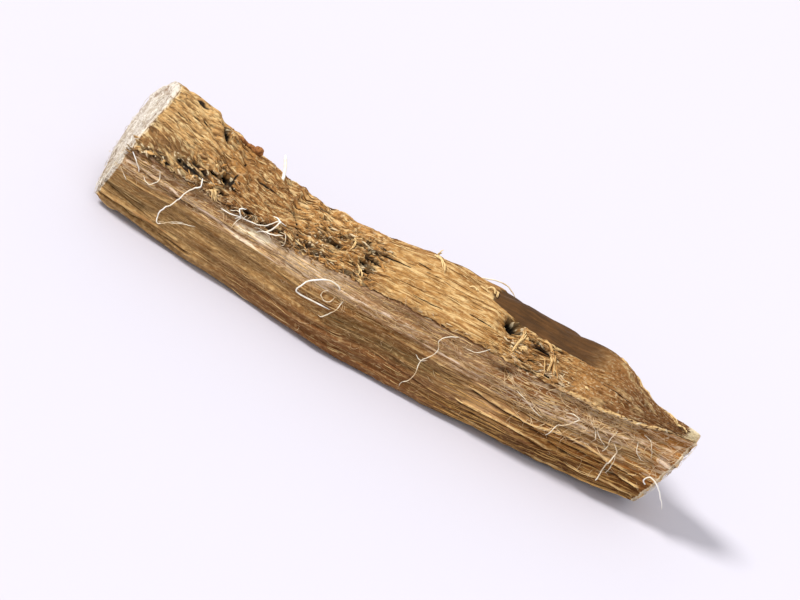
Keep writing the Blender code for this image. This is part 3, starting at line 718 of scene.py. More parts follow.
def cutFace(outward, rimPlaces):  # the places on one cut, ring by ring to its middle
    middle = rimPlaces.mean(axis=0)
    sizes = 1 - np.arange(1, wood["cutRings"] + 1) / (wood["cutRings"] + 1)
    inner = middle + (rimPlaces - middle) * np.append(sizes, 0.0)[:, None, None]
    x, y, z = np.moveaxis(inner, -1, 0)
    plane = leftCutX(y, z) if outward < 0 else rightCutX(y, z)
    rough = rootRelief["cutRoughness"] * grain(x, y, z, rootRelief["cutGrain"], 1.0, 4.0)
    tufts = wood["cutTuft"] * np.abs(grain(x, y, z * 0.35, wood["cutTuftSize"], 1.0, 9.0))
    inner[..., 0] = plane + outward * (rough + tufts)
    return inner


def woodCore():
    made, ring, column, inset = roll("woodCore", wood["around"], wood["cutRings"])
    skin = raised(woodTurns, woodHeight)
    found = skin[ring, column]
    onCut = inset > 0
    for end, outward in ((0, -1), (rounds["runs"], 1)):
        here = onCut & (ring == end)
        found[here] = cutFace(outward, skin[end])[inset[here] - 1, column[here]]
    marks = {name: values[ring, column] for name, values in woodMarks.items()}
    marks["cut"] = np.where(onCut | (np.minimum(ring, rounds["runs"] - ring) < 1), 1.0, 0.0)
    marks["inside"] = np.where(onCut, inset / (wood["cutRings"] + 1), 0.0)  # 0 at the rim, 1 at the middle
    shapeUp(made, found, marks)
    return made


# Heights over the smooth section: of the solid's form, and of the finished skin.
skinTable = np.array([
    np.where(
        tableTurns > edge,
        np.interp(tableTurns, outerTurns, outerHeights),
        np.interp(tableTurns, innerTurns[::-1], innerHeights[::-1]),
    )
    for edge, outerTurns, outerHeights, innerTurns, innerHeights in zip(
        barkEdge[:, 0], barkOuterTurns, barkOuterHeight, woodTurns, woodHeight
    )
])[None]


def onRoot(xs, turns, lifts, cling=0.0):  # places at a lift off the root's form or, clinging, off its skin
    xs, turns = np.asarray(xs, float), np.asarray(turns, float)
    length = rootForm["rightCut"] - rootForm["leftCut"]
    column = np.clip((turns - tableTurns[0]) / rounds["step"], 0, len(tableTurns) - 1.001)
    left = column.astype(int)
    side = column - left
    shares = (xs - rootForm["leftCut"]) / length
    for _ in range(3):
        ring = np.clip(shares, 0, 1) * rounds["runs"]
        low = np.minimum(ring.astype(int), rounds["runs"] - 1)
        up = ring - low

        def read(table):
            near = table[:, low, left] * (1 - side) + table[:, low, left + 1] * side
            far = table[:, low + 1, left] * (1 - side) + table[:, low + 1, left + 1] * side
            return near * (1 - up) + far * up

        height = read(plainTable)[0] * (1 - cling) + read(skinTable)[0] * cling + lifts
        y, z = read(sectionTable) + read(outTable) * height
        cutLeft = leftCutX(y, z)
        x = cutLeft + shares * (rightCutX(y, z) - cutLeft)
        shares = shares + (xs - x) / length
    return np.stack([xs, y, z], axis=-1)


class Wire:  # one shader socket, so that sums can be written as sums
    def __init__(self, finish, socket):
        self.finish = finish
        self.socket = socket

    def __add__(self, other):
        return self.finish.sum("ADD", self, other)

    def __radd__(self, other):
        return self.finish.sum("ADD", other, self)

    def __sub__(self, other):
        return self.finish.sum("SUBTRACT", self, other)

    def __rsub__(self, other):
        return self.finish.sum("SUBTRACT", other, self)

    def __mul__(self, other):
        return self.finish.sum("MULTIPLY", self, other)

    def __rmul__(self, other):
        return self.finish.sum("MULTIPLY", other, self)


class Finish:  # a material and its nodes
    def __init__(self, name):
        self.material = bpy.data.materials.new(name)
        self.material.use_nodes = True
        self.tree = self.material.node_tree
        self.shader = self.tree.nodes["Principled BSDF"]
        self.shader.inputs["Specular IOR Level"].default_value = 0.25

    def node(self, kind, settings, inputs, output=0):
        made = self.tree.nodes.new("ShaderNode" + kind)
        for name, value in settings.items():
            setattr(made, name, value)
        for name, value in inputs.items():
            self.plug(made.inputs[name], value)
        return Wire(self, made.outputs[output])

    def plug(self, socket, value):
        if isinstance(value, Wire):
            self.tree.links.new(value.socket, socket)
        else:
            socket.default_value = value

    def sum(self, operation, *values):
        return self.node("Math", {"operation": operation}, dict(enumerate(values)))

    def smooth(self, value, low, high):  # 0 below low, 1 above high
        limits = {"Value": value, "From Min": low, "From Max": high, "To Min": 0.0, "To Max": 1.0}
        return self.node("MapRange", {"interpolation_type": "SMOOTHSTEP"}, limits)

    def mix(self, first, second, share):
        return self.node("Mix", {"data_type": "RGBA"}, {0: share, 6: first, 7: second}, 2)

    def layered(self, tone, layers):  # a layer is a colour, a mark, the mark's two limits and a share
        for colour, mark, low, high, share in layers:
            tone = self.mix(tone, colour, self.smooth(mark, low, high) * share)
        return tone

    def told(self, *names):  # numbers that the mesh carries
        return [self.node("Attribute", {"attribute_name": name}, {}, "Fac") for name in names]

    def placeInMm(self):
        place = self.node("TexCoord", {}, {}, "Object")
        return self.node("VectorMath", {"operation": "SCALE"}, {0: place, "Scale": 1 / mm})

    def part(self, place, axis):  # a place's X, Y or Z
        return self.node("SeparateXYZ", {}, {"Vector": place}, axis)

    def patches(self, place, size, detail=2.0, roughness=0.55):  # noise from 0 to 1, size in the place's unit
        inputs = {"Vector": place, "Scale": 1.0 / size, "Detail": detail, "Roughness": roughness}
        return self.node("TexNoise", {"noise_dimensions": "3D"}, inputs)

    def streaks(self, x, across, size, stretch, layer, detail=2.0):  # noise drawn out along the root
        place = self.node("CombineXYZ", {}, {"X": x * (1.0 / stretch), "Y": across, "Z": layer})
        return self.patches(place, size, detail)

    def bumped(self, height, distance):
        made = self.node("Bump", {}, {"Height": height, "Distance": distance * mm, "Strength": 1.0})
        self.plug(self.shader.inputs["Normal"], made)

    def finished(self, colour, roughness):
        self.plug(self.shader.inputs["Base Color"], colour)
        self.plug(self.shader.inputs["Roughness"], roughness)
        return self.material


def paint(red, green, blue):  # a colour as a picture shows it, 0 to 255, turned into light
    shares = [value / 255 for value in (red, green, blue)]
    return (*[share / 12.92 if share <= 0.04 else ((share + 0.055) / 1.055) ** 2.4 for share in shares], 1.0)


barkColours = {
    "plain": paint(186, 136, 77), "gold": paint(181, 135, 77), "umber": paint(140, 94, 49),
    "wheat": paint(220, 178, 118), "light": paint(246, 216, 158), "dash": paint(90, 57, 28),
    # crackAndShade is the colour of dark specks and also of the painted shade in the hollows
    "crackAndShade": paint(42, 27, 14), "pit": paint(14, 9, 5), "stain": paint(60, 41, 20),
    "flake": paint(230, 212, 176), "lip": paint(232, 196, 136), "strip": paint(88, 57, 23),
    # strip, above, and stripShadow: the worn facet's dark brown, partly its own smoother bark and partly a
    # painted shadow
    "stripShadow": paint(64, 41, 15), "rust": paint(134, 85, 44), "olive": paint(98, 70, 35),
    "russet": paint(108, 65, 30), "fray": paint(240, 224, 188),
}


def barkTone(f, x, plate):  # the bark's colour along the root: pale at the left cut, gold, brown at the right
    c = barkColours
    golden = f.smooth(x, -4.5, -1.0) * f.smooth(x, 12.0, 8.5)
    tone = f.mix(c["plain"], c["gold"], golden)
    tone = f.mix(tone, c["wheat"], f.smooth(x, -19.0, -25.0) * 0.75)
    tone = f.mix(tone, c["umber"], f.sum("MAXIMUM", f.smooth(x, 11.0, 14.0) * 0.25, plate * 0.60))
    tone = f.mix(tone, c["russet"], f.smooth(x, 15.0, 24.0) * 0.95)
    return tone, golden


def corkBark():
    f = Finish("corkBark")
    c = barkColours
    x = f.part(f.placeInMm(), "X")
    across, hollowShade, pit, stain, rugged = f.told("across", "hollowShade", "pit", "stain", "rugged")
    strip, lip, plate, fray = f.told("strip", "lip", "plate", "fray")
    speckled = f.smooth(x, 14.0, 17.5)
    streaky = 1.0 - 0.70 * speckled

    bends = 0.20 + 0.45 * f.smooth(x, -9.0, -14.0)
    worm = across + (f.streaks(x, across, 0.55, 1.5, 20.0, 1.0) - 0.5) * bends
    finer = f.smooth(x, -20.0, -15.0)

    def sized(size, stretch, layer, detail):  # larger at the root's left
        coarse = f.streaks(x, worm, size * 1.5, stretch, layer, detail)
        return coarse + (f.streaks(x, worm, size, stretch, layer, detail) - coarse) * finer

    broad = f.streaks(x, across, 1.9, 1.6, 0.0, 3.0)
    fibres = sized(0.34, 3.0, 2.0, 3.0)
    dashes = sized(0.25, 2.6, 5.0, 2.0)
    glints = sized(0.20, 3.2, 11.0, 2.0)
    specks = f.streaks(x, across, 0.24, 1.3, 17.0, 2.0)
    drawn = f.streaks(x, worm, 0.30, 9.0, 7.0, 3.0)
    low = f.smooth(across, 1.3, 0.2)
    tone, golden = barkTone(f, x, plate)
    tone = f.layered(tone, (
        (c["umber"], broad, 0.50, 0.66, 0.60 - 0.40 * golden),
        (c["light"], broad, 0.44, 0.32, 0.35),
        (c["rust"], x, -9.0, -13.0, 0.55 * low),
        (c["olive"], x, -17.0, -22.0, 0.40 * low),
        (c["light"], drawn, 0.51, 0.66, 0.55 * golden),
        (c["umber"], drawn, 0.47, 0.36, 0.60 * golden),
        (c["umber"], across, 6.4, 8.0, 0.50 * golden),
        (c["light"], fibres, 0.52, 0.63, (0.55 - 0.20 * golden) * streaky),
        (c["dash"], fibres, 0.47, 0.36, (0.55 - 0.35 * golden) * streaky),
        (c["dash"], dashes, 0.44, 0.34, (0.65 - 0.45 * golden) * streaky),
        (c["light"], glints, 0.55, 0.65, (0.55 - 0.20 * golden) * streaky),
        (c["crackAndShade"], specks, 0.44, 0.34, 0.20 + 0.20 * rugged + 0.12 * speckled - 0.10 * golden),
        (c["flake"], specks, 0.57, 0.65, 0.30 * rugged + 0.26 * speckled),
        # painted shade in the bark's hollows
        (c["crackAndShade"], hollowShade, 0.25, 0.95, 0.80 - 0.35 * golden),
    ))
    stained = f.mix(c["stain"], c["crackAndShade"], f.smooth(fibres, 0.55, 0.42))
    flecks = f.streaks(x, across, 0.30, 1.6, 14.0, 2.0)
    tone = f.layered(tone, (
        (stained, stain, 0.22, 0.75, 0.82),
        (c["flake"], flecks, 0.58, 0.65, 0.8 * f.smooth(stain, 0.15, 0.4)),
    ))
    lines = f.streaks(x, across, 0.24, 12.0, 3.0, 3.0)
    # The worn facet at the top right: its own smoother bark under a painted shadow, darker still in patches
    # and lines.
    shadowedStripTone = f.layered(c["strip"], (
        (c["stripShadow"], broad, 0.42, 0.60, 0.70),
        (c["stripShadow"], lines, 0.50, 0.38, 0.50),
        (c["umber"], lines, 0.55, 0.68, 0.22),
    ))
    tone = f.mix(tone, shadowedStripTone, strip)
    torn = fray + 0.9 * (fibres - 0.5) + 0.7 * (specks - 0.5)
    tone = f.layered(tone, (
        # the lip colour paints the torn edge's pale lip and, on the rims, a painted highlight along the
        # outline
        (c["lip"], lip, 0.30, 0.75, 0.85 * f.smooth(specks, 0.38, 0.48)),
        # painted shade: the pits and splits are painted near black
        (c["pit"], pit, 0.12, 0.55, 0.96),
        (c["fray"], torn, 0.42, 0.72, 0.55 + 0.30 * speckled),
    ))
    rise = 0.7 * fibres + 0.8 * dashes + 0.6 * glints + 0.5 * specks
    f.bumped(rise * (1.0 - 0.7 * strip) * (1.0 - 0.40 * golden), 0.24)
    return f.finished(tone, 0.88 - 0.2 * strip)


woodColours = {
    "left": paint(164, 126, 77), "middle": paint(148, 102, 53), "right": paint(206, 164, 116),
    "rightEnd": paint(148, 93, 39), "cream": paint(228, 194, 138), "honey": paint(224, 178, 108),
    # groove and, below, deepShade are colours of painted shade
    "dark": paint(84, 53, 25), "groove": paint(40, 25, 12), "olive": paint(112, 90, 52),
    "red": paint(118, 72, 38), "deepShade": paint(80, 48, 22), "cord": paint(226, 192, 134),
    "band": paint(174, 134, 92), "bandLeft": paint(148, 110, 71), "bandEnd": paint(172, 114, 46),
    "bandLight": paint(228, 204, 170), "bandDark": paint(108, 68, 36), "bandPink": paint(234, 210, 184),
    "bandBright": paint(248, 234, 202), "bandWarm": paint(128, 82, 38), "cutWhite": paint(212, 203, 190),
    "cutShade": paint(146, 124, 98), "cutPale": paint(240, 234, 222), "cutLine": paint(128, 92, 58),
}


def splitWood():
    f = Finish("splitWood")
    c = woodColours
    place = f.placeInMm()
    x, z = f.part(place, "X"), f.part(place, "Z")
    across, hollowShade, crestHighlight, band, pale = f.told("across", "hollowShade", "crestHighlight", "band", "pale")
    olive, red, deepShade, cut, cord = f.told("olive", "red", "deepShade", "cut", "cord")
    inside, fray, toBark = f.told("inside", "fray", "toBark")
    ridged = f.smooth(x, 2.0, 9.0)

    wavy = across + (f.streaks(x, across, 1.2, 2.4, 21.0, 1.0) - 0.5) * (0.34 - 0.18 * ridged)
    wavy = wavy + (f.streaks(x, across, 0.4, 2.0, 22.0, 1.0) - 0.5) * (0.16 - 0.08 * ridged)
    broad = f.streaks(x, across, 1.5, 4.0, 0.0, 3.0)
    bundles = f.streaks(x, wavy, 0.34, 12.0, 2.0, 3.0)
    fibres = f.streaks(x, wavy, 0.16, 11.0, 5.0, 2.0)
    flecks = f.streaks(x, wavy, 0.17, 3.0, 8.0, 3.0)
    mottle = f.streaks(x, wavy, 0.26, 1.7, 12.0, 3.0)
    mottled = 0.34 - 0.22 * ridged
    tone = f.layered(c["left"], (
        (c["middle"], x, -12.0, -5.0, 1.0),
        (c["right"], x, 3.0, 9.0, 1.0),
        (c["rightEnd"], x, 10.5, 18.0, 1.0),
        (c["dark"], mottle, 0.46, 0.34, mottled),
        (c["cream"], mottle, 0.54, 0.66, mottled),
    ))
    tone = f.mix(tone, c["red"], red * 0.70)
    tone = f.mix(tone, c["olive"], olive * 0.75)
    # painted shade in the cavity and low at the right; the same colour also darkens broad patches
    tone = f.mix(tone, c["deepShade"], f.sum("MAXIMUM", deepShade * 0.82, f.smooth(broad, 0.52, 0.68) * 0.35))
    gloss = f.mix(c["cream"], c["honey"], ridged)
    tone = f.layered(tone, (
        (c["dark"], bundles, 0.46, 0.34, 0.18 + 0.27 * ridged),
        (gloss, bundles, 0.55, 0.68, 0.16 + 0.24 * ridged),
        (c["dark"], fibres, 0.46, 0.36, 0.22 + 0.28 * ridged),
        (gloss, fibres, 0.55, 0.65, 0.18 + 0.30 * ridged),
        (gloss, flecks, 0.55, 0.65, 0.30),
        (c["dark"], flecks, 0.45, 0.36, 0.28),
        # painted highlight on the ridge tops
        (gloss, crestHighlight, 0.30, 0.85, 0.40),
        (c["cord"], cord, 0.55, 0.90, 0.80 * f.smooth(fibres, 0.34, 0.46)),
    ))

    # The bast beside the bark: paler, felted, and with a white patch.
    tangle = f.sum("ABSOLUTE", f.streaks(x, across, 0.8, 5.0, 24.0, 1.0) - 0.5)
    second = f.sum("ABSOLUTE", f.streaks(x, across, 0.55, 3.6, 26.0, 1.0) - 0.5)
    tangle = f.sum("MINIMUM", tangle, second)
    webbed = f.smooth(x, 9.0, 13.0) + 0.5 * f.smooth(x, -10.0, -14.0)
    felt = f.streaks(x, across, 0.34, 3.0, 1.0)
    patch = f.smooth(pale, 0.35, 0.8) * f.smooth(x, -16.6, -15.4) * f.smooth(x, -12.0, -13.2)
    bast = f.layered(c["bandLeft"], (
        (c["band"], x, -17.0, -12.0, 1.0),
        (c["bandLight"], x, -13.0, -10.0, 0.68 * f.smooth(x, -3.0, -6.0)),
        (c["bandWarm"], x, 9.0, 12.0, 0.90 - 0.45 * f.smooth(x, 15.0, 20.0)),
        (c["bandEnd"], x, 22.0, 25.5, 0.75),
        (c["bandDark"], mottle, 0.46, 0.36, 0.35),
        (c["bandDark"], bundles, 0.47, 0.35, 0.40),
        (c["bandLight"], bundles, 0.54, 0.66, 0.45),
        (c["bandDark"], fibres, 0.46, 0.36, 0.40),
        (c["bandDark"], flecks, 0.45, 0.35, 0.40),
        (c["bandLight"], flecks, 0.55, 0.65, 0.50),
        (c["bandLight"], tangle, 0.030, 0.010, 0.60 * webbed),
        (c["bandPink"], pale, 0.20, 0.65, 0.85 * f.smooth(fibres, 0.36, 0.48)),
        (c["bandBright"], felt, 0.40, 0.50, 0.92 * patch),
        # painted shadow: a reddish-brown line just under the bark's torn edge
        (c["red"], toBark, 0.55, 0.15, 0.35 * f.smooth(x, 10.0, 5.0)),
    ))
    tone = f.mix(tone, bast, band)
    torn = fray + 0.9 * (fibres - 0.5) + 0.6 * (flecks - 0.5)
    tone = f.layered(tone, (
        # painted shade in the wood's gaps and hollows
        (c["groove"], hollowShade, 0.30, 0.95, 0.85),
        (c["bandBright"], torn, 0.45, 0.75, 0.65),
    ))

    # The two cuts: chalky, with a ring of dark dashes inside the rim.
    grains = f.patches(place, 0.20, 3.0)
    blots = f.patches(place, 1.1, 3.0)
    spots = f.patches(place, 0.30, 2.0)
    ring = f.sum("ABSOLUTE", inside + 0.10 * (blots - 0.5) - 0.13)
    dashed = f.smooth(f.patches(place, 0.7), 0.44, 0.56)
    cutTone = f.layered(c["cutWhite"], (
        (c["cutPale"], blots, 0.50, 0.38, 0.70),
        (c["cutShade"], blots, 0.52, 0.66, 0.50),
        (c["cutShade"], grains, 0.48, 0.62, 0.65),
        (c["cutPale"], grains, 0.42, 0.32, 0.60),
        (c["cutLine"], ring, 0.035, 0.010, 0.60 * dashed),
        (c["cutPale"], inside, 0.10, 0.03, 0.45),
        (c["cutLine"], spots, 0.55, 0.64, 0.75 * f.smooth(inside, 0.45, 0.05)),
        (c["cutShade"], z, 5.0, 1.0, 0.72),
        (c["honey"], x, 15.0, 20.0, 0.75 * f.smooth(blots, 0.34, 0.54)),
    ))
    side = 1.0 - cut
    f.bumped((0.7 * bundles + 0.8 * fibres + 0.8 * flecks) * side + grains * cut, 0.22)
    return f.finished(f.mix(tone, cutTone, cut), 0.85 + 0.1 * cut)


def finishPiece(piece, material):
    piece.data.materials.clear()
    piece.data.materials.append(material)
    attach(piece, "root")
    return piece


barkPiece = finishPiece(barkSheet(), corkBark())
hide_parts("root_piece")
woodPiece = finishPiece(woodCore(), splitWood())
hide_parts("root_piece")


# Loose fibre: each strand is a line over the root, spun into a thin tapering tube.
def flowing(points, steps=6):  # a smooth line through a few points
    points = np.asarray(points, float)
    padded = np.vstack([2 * points[0] - points[1], points, 2 * points[-1] - points[-2]])
    share = np.linspace(0, 1, steps, endpoint=False)[:, None]
    found = []
    for a, b, c, d in zip(padded, padded[1:], padded[2:], padded[3:]):
        found.append(0.5 * (2 * b + (c - a) * share + (2 * a - 5 * b + 4 * c - d) * share**2
                            + (3 * b - a - 3 * c + d) * share**3))
    return np.vstack([*found, points[-1:]])


def spin(name, strands, rim=1):  # strands are (places, radii), in millimetres
    curve = bpy.data.curves.new(name, "CURVE")
    curve.dimensions = "3D"
    curve.bevel_depth = mm
    curve.bevel_resolution = rim
    curve.use_fill_caps = True
    for places, radii in strands:
        places = np.array(places, float)
        places[:, 2] = np.maximum(places[:, 2], radii)
        spline = curve.splines.new("POLY")
        spline.points.add(len(places) - 1)
        for point, place, radius in zip(spline.points, setDown(places), radii):
            point.co = (*place, 1.0)
            point.radius = radius
    inHand(name, curve)
    bpy.ops.object.convert(target="MESH")
    made = bpy.context.object
    pointOutwards(0.0005 * mm)
    bpy.ops.object.shade_smooth()
    print(name, len(strands), "strands", len(made.data.polygons), "faces")
    return made


def taper(count, radius, root=0.8, tip=0.35):  # thick in the middle of a strand, thin at both ends
    share = np.linspace(0, 1, count)
    return radius * np.minimum(1, np.minimum(root + 6 * share, tip + 4 * (1 - share)))


brightHairs = (  # thickness, then x, turn and lift through each white hair that stands out
    (0.070, (-20.9, 0.030, 0.1), (-20.7, 0.010, 0.5), (-21.1, 0.000, 0.6), (-21.6, -0.026, 0.7),
     (-21.9, -0.061, 0.7), (-22.4, -0.095, 0.7), (-22.7, -0.128, 0.6), (-22.65, -0.154, 0.5),
     (-22.35, -0.166, 0.4), (-21.9, -0.160, 0.1)),
    (0.085, (-5.4, -0.040, 0.05), (-5.8, -0.032, 0.5), (-7.0, -0.032, 1.0), (-8.0, -0.052, 1.1),
     (-8.7, -0.088, 0.9), (-8.3, -0.104, 0.6), (-7.0, -0.103, 0.4), (-5.8, -0.103, 0.2), (-5.2, -0.104, 0.0)),
    (0.080, (27.1, -0.152, 0.1), (26.75, -0.138, 0.5), (27.0, -0.120, 0.8), (27.8, -0.124, 1.0),
     (28.8, -0.150, 1.0), (29.6, -0.186, 1.0)),
    (0.190, (-14.7, 0.200, 0.0), (-15.0, 0.222, 0.9), (-15.4, 0.240, 1.8), (-15.75, 0.245, 2.5)),
    (0.060, (-18.2, -0.018, 0.2), (-17.2, -0.016, 0.5), (-16.4, -0.010, 0.4), (-15.4, -0.006, 0.5),
     (-14.4, 0.000, 0.5), (-13.6, 0.014, 0.6), (-13.0, 0.034, 0.6), (-12.4, 0.036, 0.4)),
    (0.085, (-13.7, -0.008, 0.2), (-13.2, 0.010, 0.6), (-13.0, 0.030, 0.7), (-13.3, 0.044, 0.5),
     (-13.8, 0.050, 0.2)),
    (0.070, (-16.6, -0.026, 0.1), (-16.3, -0.006, 0.5), (-16.7, 0.008, 0.5), (-16.2, 0.016, 0.3)),
    (0.070, (-14.4, -0.030, 0.1), (-13.8, -0.010, 0.6), (-13.0, -0.004, 0.6), (-12.2, 0.004, 0.4)),
    (0.065, (-27.5, 0.006, 0.1), (-26.9, -0.008, 0.5), (-26.4, -0.026, 0.6), (-26.1, -0.044, 0.3)),
)
longHairs = (  # the same through each beige one
    (0.045, (-22.3, -0.166, 0.2), (-21.9, -0.158, 0.3), (-21.4, -0.142, 0.4), (-20.9, -0.131, 0.3),
     (-20.4, -0.122, 0.1)),
    (0.050, (-6.2, -0.060, 0.1), (-6.6, -0.072, 0.4), (-6.2, -0.082, 0.5), (-5.6, -0.080, 0.3),
     (-5.4, -0.066, 0.1)),
    (0.050, (-4.6, -0.060, 0.0), (-4.7, -0.086, 0.4), (-5.0, -0.105, 0.5), (-5.5, -0.128, 0.3),
     (-5.9, -0.134, 0.0)),
    (0.050, (5.9, -0.004, 0.1), (5.0, -0.016, 0.4), (4.5, -0.036, 0.5), (4.9, -0.062, 0.5),
     (4.4, -0.092, 0.5), (4.1, -0.113, 0.5), (4.25, -0.150, 0.5), (4.1, -0.172, 0.4), (3.7, -0.190, 0.4),
     (3.6, -0.206, 0.1)),
    (0.045, (3.4, -0.104, 0.1), (4.0, -0.110, 0.5), (4.6, -0.100, 0.3)),
    (0.060, (17.1, -0.140, 0.1), (17.2, -0.128, 0.5), (17.5, -0.096, 0.7), (18.2, -0.076, 0.8),
     (18.9, -0.054, 0.7), (18.3, -0.048, 0.5), (17.6, -0.056, 0.3)),
    (0.040, (12.6, -0.058, 0.0), (13.8, -0.066, 0.4), (15.2, -0.084, 0.5), (16.4, -0.100, 0.2)),
    (0.074, (23.2, -0.206, 0.1), (23.2, -0.185, 0.5), (23.15, -0.150, 0.6), (23.3, -0.118, 0.6),
     (23.3, -0.098, 0.5), (22.7, -0.082, 0.2)),
    (0.050, (23.6, -0.178, 0.1), (23.65, -0.150, 0.5), (23.5, -0.118, 0.5), (23.1, -0.092, 0.3)),
    (0.075, (4.9, 0.236, 0.0), (5.6, 0.240, 0.55), (6.6, 0.243, 1.0), (7.6, 0.243, 0.9), (8.7, 0.240, 0.1)),
    (0.055, (22.2, -0.116, 0.0), (22.4, -0.096, 0.4), (22.2, -0.070, 0.5), (22.4, -0.044, 0.2)),
    (0.045, (19.8, -0.044, 0.0), (20.6, -0.064, 0.4), (21.1, -0.088, 0.4), (20.9, -0.104, 0.1)),
    (0.045, (-16.5, -0.058, 0.0), (-16.45, -0.034, 0.4), (-16.2, -0.012, 0.5), (-15.8, 0.004, 0.3)),
    (0.045, (-12.6, 0.010, 0.2), (-12.0, 0.006, 0.5), (-11.7, -0.012, 0.5), (-12.0, -0.026, 0.2)),
    (0.040, (-17.4, -0.006, 0.2), (-16.8, 0.002, 0.6), (-16.2, -0.004, 0.6), (-15.8, -0.018, 0.2)),
    (0.040, (-14.8, -0.022, 0.1), (-14.2, -0.010, 0.5), (-13.4, -0.016, 0.5), (-12.8, -0.028, 0.1)),
    (0.045, (-24.5, -0.004, 0.1), (-24.2, -0.030, 0.4), (-24.6, -0.056, 0.4), (-25.1, -0.058, 0.2),
     (-25.6, -0.048, 0.0)),
    (0.040, (-22.4, -0.162, 0.2), (-21.4, -0.146, 0.4), (-20.4, -0.124, 0.4), (-19.3, -0.112, 0.1)),
    (0.045, (-27.8, -0.06, 0.1), (-27.2, -0.074, 0.4), (-26.7, -0.092, 0.1)),
    (0.040, (8.8, 0.004, 0.1), (8.2, -0.010, 0.5), (7.6, -0.020, 0.4), (6.4, -0.022, 0.1)),
    (0.040, (20.6, -0.052, 0.0), (21.0, -0.070, 0.5), (21.8, -0.088, 0.5), (22.2, -0.106, 0.1)),
    (0.040, (24.6, -0.030, 0.1), (25.4, -0.034, 0.5), (25.9, -0.056, 0.5), (26.3, -0.080, 0.1)),
    (0.040, (24.4, -0.050, 0.1), (24.9, -0.076, 0.5), (25.6, -0.096, 0.4), (26.2, -0.092, 0.1)),
)


hairs = {  # the box ends close to the front, so no hair stands far off it
    "liftShare": 0.6, "thickShare": 0.82, "kink": 0.05, "kinkEvery": 2.6,
}


def hairLines(table):
    for thickness, *stops in table:
        line = flowing(stops)
        line[:, 2] *= hairs["liftShare"]
        along = np.arange(len(line)) / hairs["kinkEvery"]
        line[:, 0] += hairs["kink"] * grain(along, thickness * 90, 0.0, 1.0)
        line[:, 1] += hairs["kink"] / rootForm["girth"] * grain(along, thickness * 90, 9.0, 1.0)
        yield onRoot(*line.T, 0.5), taper(len(line), hairs["thickShare"] * thickness)


twig = (  # x, turn, lift and radius along a scrap of twig that is stuck to the crown, with a knob at its end
    (-20.3, 0.206, 0.04, 0.08), (-19.9, 0.212, 0.10, 0.16), (-19.4, 0.214, 0.11, 0.19),
    (-18.9, 0.216, 0.12, 0.20), (-18.5, 0.218, 0.20, 0.28), (-18.1, 0.220, 0.26, 0.40),
    (-17.75, 0.222, 0.22, 0.36), (-17.5, 0.222, 0.16, 0.14),
)


def twigLines():
    line = flowing(twig, 5)
    line[:, 1] += 0.0015 * grain(line[:, 0], 0.0, 0.0, 0.5)
    yield onRoot(*line[:, :3].T, 1.0), line[:, 3] * (1 + 0.25 * grain(line[:, 0], 0.0, 4.0, 0.25))


cords = {
    "seed": 43, "steps": 60, "strands": 3, "thickShare": 0.32, "apart": 0.050, "stray": 0.06,
    "lift": 0.02, "middleLift": 0.03, "uneven": 0.8, "from": -28.2, "to": 26.8,
}


def cordLines():  # every raised strand of the wood is a few thin ones side by side
    k = cords
    draw = np.random.default_rng(k["seed"])
    for halfWidth, _, *stops in woodCords:
        xs, downs = np.array(stops, float).T
        for n in range(k["strands"]):
            start, end = xs[0] + draw.uniform(0, k["uneven"]), xs[-1] - draw.uniform(0, k["uneven"])
            run = np.linspace(max(start, k["from"]), min(end, k["to"]), k["steps"])
            over = np.interp(run, xs, turnSeen(xs, downs)) * rootForm["girth"]
            over += k["apart"] * (n - 1) + k["stray"] * grain(run, n * 3.0, halfWidth * 90, 1.6)
            over += 0.4 * k["stray"] * grain(run, n * 3.0, halfWidth * 70, 0.5)
            radii = taper(k["steps"], k["thickShare"] * halfWidth * draw.uniform(0.6, 1.0), 0.3, 0.3)
            lift = np.full(k["steps"], k["lift"] + k["middleLift"] * (n == 1))
            yield onRoot(run, over / rootForm["girth"], lift, 1.0), radii


# Flat fibres and flakes lie over the skin: thin closed bands with two edges, a back and a belly.
overTable = 0.01  # how far every band stays over the table


def bands(name, xs, overs, lifts, widths, thicks, tilts, tones, cling=1.0):
    stepX, stepOver = np.gradient(xs, axis=1), np.gradient(overs, axis=1)
    length = np.hypot(stepX, stepOver) + 1e-9
    sideX, sideOver = -stepOver / length * widths, stepX / length * widths
    cornerX = np.stack([xs + sideX, xs, xs - sideX, xs], axis=-1)
    cornerTurn = np.stack([overs + sideOver, overs, overs - sideOver, overs], axis=-1) / rootForm["girth"]
    cornerLift = np.stack([lifts + tilts, lifts + thicks, lifts - tilts, lifts - thicks], axis=-1)
    places = onRoot(cornerX, cornerTurn, cornerLift, cling)
    places[..., 2] = np.maximum(places[..., 2], overTable)
    count, steps = xs.shape
    first = (np.arange(count) * steps * 4)[:, None, None]
    ring = first + (np.arange(steps - 1) * 4)[None, :, None]
    here, after = ring + np.arange(4), ring + (np.arange(4) + 1) % 4
    sides = np.stack([here, after, after + 4, here + 4], axis=-1).reshape(-1, 4)
    ends = first[:, 0] + np.array([3, 2, 1, 0])
    faces = np.concatenate([sides, ends, ends[:, ::-1] + (steps - 1) * 4])
    mesh = bpy.data.meshes.new(name)
    mesh.from_pydata(setDown(places.reshape(-1, 3)).tolist(), [], faces.tolist())
    tellMesh(mesh, "tone", np.repeat(tones, steps * 4))
    made = inHand(name, mesh)
    pointOutwards()
    bpy.ops.object.shade_smooth()
    print(name, count, "bands", len(mesh.polygons), "faces")
    return made


